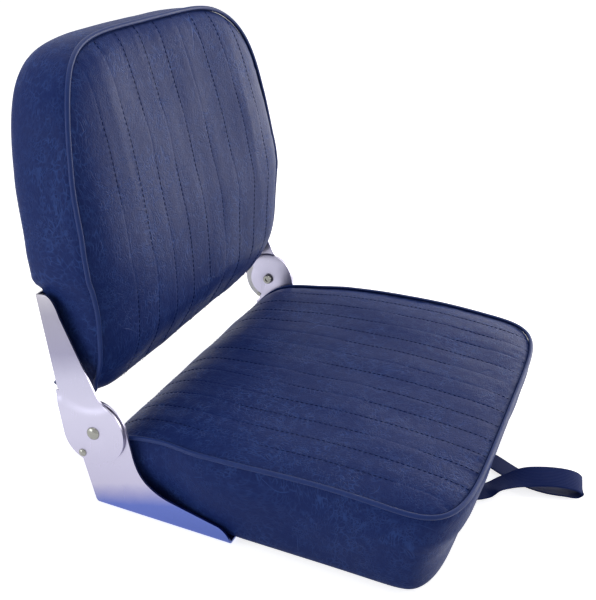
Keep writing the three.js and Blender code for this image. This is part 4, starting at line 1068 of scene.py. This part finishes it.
# %% Strap
STRAP_WIDTH = 25.0
STRAP_THICK = 1.6
STRAP_LOW = 1.7
STRAP_STEPS = 330
STRAP_ROUTE = [(-42, 284, 0), (-32, 304, 0), (-20, 322, 0), (-16, 328.5, 0), (-10, 336, 1.2), (5, 352, 6.5),
               (17, 371, 12), (26, 394, 14.8), (32, 412, 14.2), (37, 423, 10.5), (40, 427, 4.8),
               (38, 423, 0.6), (33, 410, 0), (29, 391, 0), (32, 368, 0), (42, 347, 0), (52, 330, 0),
               (61, 308, 0), (70, 284, 0)]
STRAP_TURNS = [(0, 27), (0.1, 33), (0.22, 40), (0.32, 27), (0.4, 18), (0.52, 9), (0.59, 8), (0.65, 2),
               (0.72, -14), (0.79, -28), (0.85, -27), (0.92, -22), (1, -22)]
STRAP_TILTS = [(0, 0), (0.186, 0), (0.22, -13), (0.265, -4), (0.35, 19), (0.46, 19), (0.52, 12), (0.56, 4),
               (0.6, 0), (1, 0)]
STRAP_SECTION = [(-1, 0.45), (-0.94, 1), (-0.86, 0.82), (-0.6, 1), (-0.3, 1), (0, 1), (0.3, 1), (0.6, 1),
                 (0.86, 0.82), (0.94, 1), (1, 0.45)]


def chordal_curve(knots, count):
    """A curve through unevenly spaced knots, at evenly long steps, and its length."""
    knots = np.concatenate([[2 * knots[0] - knots[1]], knots, [2 * knots[-1] - knots[-2]]])
    gaps = np.sqrt(np.linalg.norm(np.diff(knots, axis=0), axis=1))
    line = []
    for k in range(1, len(knots) - 2):
        p0, p1, p2, p3 = knots[k - 1:k + 3]
        d0, d1, d2 = gaps[k - 1:k + 2]
        t1 = ((p1 - p0) / d0 - (p2 - p0) / (d0 + d1) + (p2 - p1) / d1) * d1
        t2 = ((p2 - p1) / d1 - (p3 - p1) / (d1 + d2) + (p3 - p2) / d2) * d1
        for w in np.linspace(0, 1, 60, endpoint=False):
            line.append((2 * w**3 - 3 * w**2 + 1) * p1 + (w**3 - 2 * w**2 + w) * t1
                        + (3 * w**2 - 2 * w**3) * p2 + (w**3 - w**2) * t2)
    line = np.array(line + [knots[-2]])
    return even_points(line, count), run_along(line)[-1]


def strap_mesh():
    route = np.array([(x, -front, STRAP_LOW + up) for x, front, up in STRAP_ROUTE], float)
    path, long = chordal_curve(route, STRAP_STEPS + 1)
    share = np.linspace(0, 1, STRAP_STEPS + 1)
    turn = np.radians(smooth_table(STRAP_TURNS, share))
    tilt = np.radians(smooth_table(STRAP_TILTS, share))
    along = unit(np.gradient(path, axis=0))
    across = np.stack([np.cos(turn), np.sin(turn), np.tan(tilt)], axis=1)
    across = unit(across - along * np.sum(across * along, axis=1)[:, None])
    face = np.cross(across, along)
    half, thick = STRAP_WIDTH / 2, STRAP_THICK / 2
    section = [(place * half, share_thick * thick) for place, share_thick in STRAP_SECTION]
    ring = section + [(a, -b) for a, b in reversed(section)]
    points, uvs, faces = [], [], []
    for k in range(STRAP_STEPS + 1):
        points += [path[k] + across[k] * a + face[k] * b for a, b in ring]
        uvs += [(a * MM, share[k] * long * MM) for a, b in ring]
    rings = [range(k * len(ring), (k + 1) * len(ring)) for k in range(STRAP_STEPS + 1)]
    join_rings(faces, rings)
    faces += [tuple(rings[0]), tuple(reversed(rings[-1]))]
    piece = mesh_piece("strap_band", np.array(points), faces)
    layer = piece.data.uv_layers.new(name="UVMap")
    for loop in piece.data.loops:
        layer.data[loop.index].uv = uvs[loop.vertex_index]
    return piece, long


strap, strap_long = strap_mesh()
print("strap length", round(strap_long, 1), "mm")

# %% [markdown]
# The hinge pieces are folded sheet. Each is drawn flat, as it is cut from the sheet, with its holes.
# The flat blank is then bent: the bend keeps its length, so the holes land where the drawing has
# them. The cut edges get a very small bevel, which catches the light as a sheared edge does.

# %% Bent sheet metal
BEND = 4.0
BEND_RUN = BEND * math.pi / 2
OUTLINE_STEP = 1.6
HOLE_POINTS = 29
PIVOT_HOLE, STOP_HOLE, SCREW_HOLE = 4.3, 2.8, 2.5
CUT_BEVEL = 0.32
CUT_ANGLE, SMOOTH_ANGLE = 60, 28


def arc(centre, radius, start, end, count):
    turn = np.radians(np.linspace(start, end, count))
    return [(centre[0] + radius * math.cos(a), centre[1] + radius * math.sin(a)) for a in turn]


def sweep_curve(start, control, end, count=10):
    """A curve that leaves its start, and comes to its end, along the lines to the control point."""
    t = np.linspace(0, 1, count + 1)[1:]
    a, b, c = np.array(start), np.array(control), np.array(end)
    return [tuple((1 - w) ** 2 * a + 2 * w * (1 - w) * b + w * w * c) for w in t]


def inside(points, loop):
    x, y = points.T
    odd = np.zeros(len(points), bool)
    for (x0, y0), (x1, y1) in zip(loop, np.roll(loop, -1, axis=0)):
        cross = (y0 > y) != (y1 > y)
        if y1 != y0:
            odd ^= cross & (x < (x1 - x0) * (y - y0) / (y1 - y0) + x0)
    return odd


def on_sheet(points, loops):
    """Inside the outline and in none of the holes."""
    keep = inside(points, loops[0])
    for loop in loops[1:]:
        keep &= ~inside(points, loop)
    return keep


def blank(outline, holes, zones):
    """A flat blank as triangles. Points are packed closer in the zones that will be bent."""
    loops = [even_steps(np.array(outline + outline[:1], float), OUTLINE_STEP)[:-1]]
    loops += [np.array(arc(centre, radius, 0, 360, HOLE_POINTS)[:-1]) for centre, radius in holes]
    rim = np.concatenate(loops)
    points, edges = [], []
    for loop in loops:
        edges += loop_edges(len(points), len(loop))
        points += list(loop)
    for low, high, gap in zones:
        x, y = np.meshgrid(np.arange(low[0], high[0], gap[0]), np.arange(low[1], high[1], gap[1]))
        grid = np.stack([x.ravel(), y.ravel()], axis=1)
        points += list(grid[on_sheet(grid, loops) & (nearest(rim, grid)[0] > 0.5 * min(gap))])
    verts, faces, origin = triangulate(points, edges)
    flat = np.array([tuple(v) for v in verts])
    faces = np.array([f for f in faces if len(f) == 3])
    return flat, faces[on_sheet(flat[faces].mean(axis=1), loops)]


def bent_sheet(name, flat, faces, bend):
    """Gives the blank its thickness and bends it. bend gives each outer point and its way out."""
    outer, out = bend(flat)
    inner = outer - out * PLATE
    count = len(flat)
    used = {edge for a, b, c in faces for edge in ((a, b), (b, c), (c, a))}
    walls = [(a, b) for f in faces for a, b in zip(f, np.roll(f, -1)) if (b, a) not in used]
    solid_faces = [tuple(f) for f in faces] + [tuple(count + k for k in reversed(f)) for f in faces]
    solid_faces += [(a, a + count, b + count, b) for a, b in walls]
    piece = mesh_piece(name, np.concatenate([outer, inner]), solid_faces)
    build = bmesh.new()
    build.from_mesh(piece.data)
    build.normal_update()
    rim = [e for e in build.edges if len(e.link_faces) == 2 and e.calc_face_angle() > math.radians(CUT_ANGLE)]
    bmesh.ops.bevel(build, geom=rim, offset=CUT_BEVEL * MM, offset_type="OFFSET", segments=2, profile=0.6,
                    affect="EDGES", clamp_overlap=True)
    bmesh.ops.recalc_face_normals(build, faces=build.faces)
    build.to_mesh(piece.data)
    build.free()
    piece.data.polygons.foreach_set("use_smooth", [True] * len(piece.data.polygons))
    piece.data.set_sharp_from_angle(angle=math.radians(SMOOTH_ANGLE))
    return piece


# %% [markdown]
# The lower bracket stands beside the seat. Its round head is cut back at the front, where the stop
# rivet travels, and its foot is folded in under the board.

# %% Lower brackets
BRACKET_OUTER = 207.5
FOOT_START = BEND - BEND_RUN
FOOT_END = FOOT_START - (40 - BEND)
BRACKET_OUTLINE = [(-3, FOOT_START - 34), (-3, 2.4), (-1.5, 4.2), (13.4, 45), (10.16, 47.95), (7.32, 56.5)]
BRACKET_OUTLINE += arc((0, PIVOT_HEIGHT), 23.2, -71.6, 28.6, 28)
BRACKET_OUTLINE += arc((0, PIVOT_HEIGHT), 32.2, 28.6, 163, 50)
BRACKET_OUTLINE += [(-39, 60.3)] + sweep_curve((-39, 60.3), (-44.5, 43), (-56, 35.3))
BRACKET_OUTLINE += sweep_curve((-56, 35.3), (-65, 28.6), (-77, 25.7)) + [(-128, 15)]
BRACKET_OUTLINE += sweep_curve((-128, 15), (-137, 11), (-140.4, 3.2))[:-1]
BRACKET_OUTLINE += [(-140.6, 2.0), (-141, FOOT_START), (-141, FOOT_END + 12)]
BRACKET_OUTLINE += sweep_curve((-141, FOOT_END + 12), (-141, FOOT_END), (-129, FOOT_END)) + [(-5, FOOT_END)]
FOOT_SCREWS = [(-front, FOOT_START - (31.5 - BEND)) for front in (26, 74, 122)]
BRACKET_HOLES = [((0, PIVOT_HEIGHT), PIVOT_HOLE)] + [(place, SCREW_HOLE) for place in FOOT_SCREWS]
BRACKET_FOLD = ((-140, FOOT_START - 0.01), (-2, BEND + 0.01), (4.0, BEND_RUN / 6))
SIDES = (("right", -1), ("left", 1))


def bend_bracket(sign):
    def bend(flat):
        y, down = flat[:, 0], BEND - flat[:, 1]
        angle = np.clip(down / BEND, 0, math.pi / 2)
        past = np.maximum(0, down - BEND_RUN)
        inward = BEND * (1 - np.cos(angle)) + past
        z = np.where(down > 0, BEND - BEND * np.sin(angle), flat[:, 1])
        points = np.stack([sign * (BRACKET_OUTER - inward), y, z], axis=1)
        out = np.stack([sign * np.cos(angle), np.zeros(len(y)), -np.sin(angle)], axis=1)
        return points, out
    return bend


flat, faces = blank(BRACKET_OUTLINE, BRACKET_HOLES, [BRACKET_FOLD])
brackets = {side: bent_sheet(f"bracket_sheet_{side}", flat, faces, bend_bracket(sign))
            for side, sign in SIDES}
print("bracket faces", len(brackets["left"].data.polygons))

# %% [markdown]
# The arm is a round disc at the hinge. Above a curved crease it steps in, and its rear edge is
# folded behind the backrest as a flange with three screws.

# %% Arms
ARM_REAR = 31.2
FOLD_START = ARM_REAR - BEND
FLANGE_END = FOLD_START + BEND_RUN + 42 - BEND
FLANGE_LOW, FLANGE_HIGH, FLANGE_CORNER, FOLD_LOW = 43.5, 135, 5, 42.9
CREASE_LOW, CREASE_RISE, CREASE_FROM, CREASE_END = 16.5, 0.0135, -3, -30
STEP_IN, STEP_OVER = 1.9, 11
DISC_RADIUS = 31.5
STOP_PLACE = (16.30, -20.64)
ARM_OUTLINE = [(31.5, 42.2), (28.0, 42.2), (27.6, FLANGE_LOW), (FLANGE_END - FLANGE_CORNER, FLANGE_LOW)]
ARM_OUTLINE += sweep_curve((FLANGE_END - FLANGE_CORNER, FLANGE_LOW), (FLANGE_END, FLANGE_LOW),
                           (FLANGE_END, FLANGE_LOW + FLANGE_CORNER), 6)
ARM_OUTLINE += [(FLANGE_END, FLANGE_HIGH - FLANGE_CORNER)]
ARM_OUTLINE += sweep_curve((FLANGE_END, FLANGE_HIGH - FLANGE_CORNER), (FLANGE_END, FLANGE_HIGH),
                           (FLANGE_END - FLANGE_CORNER, FLANGE_HIGH), 6)
ARM_OUTLINE += [(21.8, FLANGE_HIGH)] + sweep_curve((21.8, FLANGE_HIGH), (13, FLANGE_HIGH), (10.06, 113), 16)
ARM_OUTLINE += [(-10.5, 36)] + sweep_curve((-10.5, 36), (-11.8, 31.2), (-14.6, 27.9), 5)
ARM_OUTLINE += arc((0, 0), DISC_RADIUS, 117.6, 360, 96)
FLANGE_SCREWS = [(FOLD_START + BEND_RUN + 34.3 - BEND, up) for up in (62, 90, 118)]
ARM_HOLES = [((0, 0), PIVOT_HOLE), (STOP_PLACE, STOP_HOLE)] + [(place, SCREW_HOLE) for place in FLANGE_SCREWS]
ARM_CREASE = ((-26, 14), (31, 42), (1.7, 1.2))
ARM_FOLD = ((FOLD_START, 44), (ARM_REAR + 2.4, 134.5), (BEND_RUN / 6, 4.0))


def bend_arm(sign):
    def bend(flat):
        w, v = flat.T
        crease = CREASE_LOW + CREASE_RISE * (np.clip(w, CREASE_END, FOLD_START) - CREASE_FROM) ** 2
        face = HINGE_WIDTH / 2 - STEP_IN * ease(np.clip((v - crease) / STEP_OVER, 0, 1))
        past_start = w - FOLD_START
        folds = (v > FOLD_LOW) & (past_start > 0)
        angle = np.where(folds, np.clip(past_start / BEND, 0, math.pi / 2), 0)
        past = np.where(folds, np.maximum(0, past_start - BEND_RUN), 0)
        inward = BEND * (1 - np.cos(angle)) + past
        y = np.where(folds, FOLD_START + BEND * np.sin(angle), w)
        local = np.stack([sign * (face - inward), y, v], axis=1)
        tip = local + np.stack([sign * np.cos(angle), np.sin(angle), np.zeros(len(v))], axis=1)
        points = local_to_world(local)
        return points, local_to_world(tip) - points
    return bend


flat, faces = blank(ARM_OUTLINE, ARM_HOLES, [ARM_CREASE, ARM_FOLD])
arms = {side: bent_sheet(f"arm_sheet_{side}", flat, faces, bend_arm(sign)) for side, sign in SIDES}
print("arm faces", len(arms["left"].data.polygons))

# %% [markdown]
# Rivets are turned shapes: half an outline, spun round its own axis. The pivots have a low dome
# outside and an upset tail inside. The screws, nuts and washers stay as the CAD model has them.


# %% Rivets
def turned(name, outline, start, axis, segments=40):
    """outline is radius and height pairs; height runs along the axis from the start."""
    turn_to = Vector((0, 0, 1)).rotation_difference(Vector(axis).normalized())
    turns = [2 * math.pi * k / segments for k in range(segments)]
    points, faces, rings = [], [], []
    for radius, high in outline:
        ring = [(0, 0, high)]
        if radius:
            ring = [(radius * math.cos(a), radius * math.sin(a), high) for a in turns]
        rings.append(list(range(len(points), len(points) + len(ring))))
        points += ring
    join_rings(faces, rings)
    placed = np.array([tuple(turn_to @ Vector(p) + Vector(start)) for p in points])
    return mesh_piece(name, placed, faces, 40)


DOME_POINTS, DOME_END, DOME_FULLNESS = 14, 0.12, 1.15
HEAD_GAP = 0.05


def dome(radius, high, shank, long, tail):
    """From the top of the dome down to the end of the shank, and what comes after it."""
    turns = np.linspace(0, math.pi / 2 - DOME_END, DOME_POINTS)
    shape = [(radius * math.sin(a), high * math.cos(a) ** DOME_FULLNESS) for a in turns]
    return shape + [(radius, high * 0.06), (radius, HEAD_GAP), (shank, 0.0), (shank, -long)] + tail


PIVOT_RIVET = dome(6.35, 2.9, 4.0, 9.5,
                   [(5.4, -9.5), (5.6, -10.1), (4.9, -11.2), (2.4, -11.3), (2.2, -9.8), (0, -9.8)])
STOP_RIVET = dome(3.9, 2.1, 2.5, 7.2, [(0, -7.2)])
hardware = []
for side, sign in SIDES:
    face = sign * (HINGE_WIDTH / 2 + HEAD_GAP)
    stop_start = tuple(local_to_world(np.array([[face, *STOP_PLACE]]))[0])
    pivot = turned(f"pivot_rivet_form_{side}", PIVOT_RIVET, (face, 0, PIVOT_HEIGHT), (sign, 0, 0))
    stop = turned(f"stop_rivet_form_{side}", STOP_RIVET, stop_start, (sign, 0, 0), 28)
    hardware += [(pivot, rivet_metal, "rivet_steel", f"pivot_rivet_{side}", "seat"),
                 (stop, rivet_metal, "rivet_steel", f"stop_rivet_{side}", "back"),
                 (brackets[side], aluminium, "aluminium", f"bracket_{side}", "seat"),
                 (arms[side], aluminium, "aluminium", f"arm_{side}", "back")]
for piece, material, slot_name, stands_for, body in hardware:
    finish(piece, material)
    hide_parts(stands_for)
    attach(piece, body)
print(len(hardware), "hinge pieces made")

# %% [markdown]
# Each piece takes its finish, the CAD solids that it replaces are hidden, and it is fixed to its
# body.

# %% Dress the cushions and the strap
DRESS = [(seat_cushion, navy_vinyl, "vinyl"), (back_cushion, navy_vinyl, "vinyl"),
         (seat_piping, piping_vinyl, "piping"), (back_piping, piping_vinyl, "piping"),
         (seat_stitches, thread, "vinyl"), (back_stitches, thread, "vinyl"),
         (seat_shade_cord, thread, "vinyl"), (back_shade_cord, thread, "vinyl"),
         (rear_cover, rear_vinyl, "rear_vinyl"), (strap, strap_webbing, "strap_webbing")]
for piece, material, slot_name in DRESS:
    finish(piece, material)

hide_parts("seat_cover", "seat_foam")
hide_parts("back_cover", "back_foam")
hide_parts("seat_piping")
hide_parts("back_piping")
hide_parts("strap")
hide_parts("back_rear_panel")
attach(rear_cover, "back")
for piece in (seat_cushion, seat_piping, seat_stitches, seat_shade_cord, strap):
    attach(piece, "seat")
for piece in (back_cushion, back_piping, back_stitches, back_shade_cord):
    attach(piece, "back")
for piece in (seat_cushion, seat_piping, seat_stitches, seat_shade_cord):
    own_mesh(piece)
for piece in (back_cushion, back_piping, back_stitches, back_shade_cord):
    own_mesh(piece)

# %% [markdown]
# Screws, washers, nuts and boards stay as the CAD solids, so each only takes the finish that its
# record names.

# %% Finish the CAD solids that show
FINISHES = {"plated_steel": screw_metal, "rivet_steel": rivet_metal, "nylon": nylon, "aluminium": aluminium,
            "plywood": plywood, "foam": foam, "rear_vinyl": rear_vinyl, "vinyl": navy_vinyl,
            "piping": piping_vinyl, "strap_webbing": strap_webbing}
for part in frame["record"]["subparts"]:
    finish(nodes[part["node"]], FINISHES[part["material_slot"]])

# %% [markdown]
# The photograph was taken from the seat's right, above and in front. The camera was solved from the
# seat's own lines: where it stands, and which ways it looks and is turned.

# %% Camera
VIEW_FROM = Vector((-0.914487, -0.424735, 0.59517))
LOOK = Vector((0.8621129511, 0.2942671638, -0.4125143583))
RIGHT = Vector((0.3591261438, -0.9291572289, 0.0877223124))
DOWN = Vector((-0.3574768137, -0.2237714910, -0.9067175125))
FOCAL_PIXELS, PICTURE_PIXELS, SENSOR_WIDTH = 1030.35, 600, 36
camera = add_object("camera", bpy.data.cameras.new("camera"))
facing = Matrix((RIGHT, -DOWN, -LOOK)).transposed()
camera.matrix_world = Matrix.Translation(VIEW_FROM) @ facing.to_4x4()
camera.data.lens = SENSOR_WIDTH * FOCAL_PIXELS / PICTURE_PIXELS
camera.data.clip_start = 0.01
bpy.context.scene.camera = camera

# %% [markdown]
# The ground is a plain pale floor. The floor and the room are white to the camera and in
# reflections, so that the metal shows the white ground it stands on, and darker to other light.
# Four big soft lights keep the shades broad; the strongest is on the far side.

# %% Floor, light and backdrop
FLOOR_HALF = 6
FLOOR_GLOW = 0.78
ROOM_LIGHT = 0.27


def white_to_sight(tree):
    """1 where the camera sees the surface, itself, in a reflection or through glass."""
    sight = node(tree, "ShaderNodeLightPath").outputs
    seen = larger(tree, sight["Is Camera Ray"], sight["Is Glossy Ray"])
    return larger(tree, seen, sight["Is Transmission Ray"])


corners = [(x, y, FLOOR_LEVEL * MM) for x, y in ((-FLOOR_HALF, -FLOOR_HALF), (FLOOR_HALF, -FLOOR_HALF),
                                                 (FLOOR_HALF, FLOOR_HALF), (-FLOOR_HALF, FLOOR_HALF))]
floor_mesh = bpy.data.meshes.new("floor")
floor_mesh.from_pydata(corners, [], [(0, 1, 2, 3)])
floor = add_object("floor", floor_mesh)
floor_finish, tree, surface = new_material("pale floor")
feed(tree, surface, Base_Color=(0.93, 0.93, 0.93, 1.0), Roughness=0.9, Emission_Color=(1.0, 1.0, 1.0, 1.0),
     Emission_Strength=times(tree, white_to_sight(tree), FLOOR_GLOW), Specular_IOR_Level=0.0)
floor_mesh.materials.append(floor_finish)


def soft_light(name, place, target, size, power, colour):
    light = bpy.data.lights.new(name, "AREA")
    light.shape = "RECTANGLE"
    light.size, light.size_y = size
    light.energy = power
    light.color = colour
    lamp = add_object(name, light)
    lamp.location = place
    lamp.rotation_euler = (Vector(target) - Vector(place)).to_track_quat("-Z", "Y").to_euler()


soft_light("overhead", (0.3, 0.2, 1.9), (0, -0.1, 0.2), (1.8, 1.8), 12, (1.0, 0.99, 0.98))
soft_light("far side", (1.7, -0.95, 0.4), (0, -0.1, 0.25), (2.2, 1.0), 27, (1.0, 0.96, 0.91))
soft_light("front", (-0.2, -1.8, 1.0), (0, -0.1, 0.25), (1.6, 1.2), 4, (0.97, 0.98, 1.0))
soft_light("behind", (-1.5, 1.3, 0.6), (-0.2, 0.05, 0.35), (1.4, 1.0), 14, (0.95, 0.97, 1.0))

world = bpy.data.worlds.new("white room")
bpy.context.scene.world = world
world.use_nodes = True
sky = world.node_tree
strength = from_node(sky, "ShaderNodeMapRange", "Result", Value=white_to_sight(sky), To_Min=ROOM_LIGHT,
                     To_Max=1.0)
feed(sky, sky.nodes["Background"], Strength=strength, Color=(1, 1, 1, 1))
bpy.context.scene.view_settings.view_transform = "Standard"

# %% [markdown]
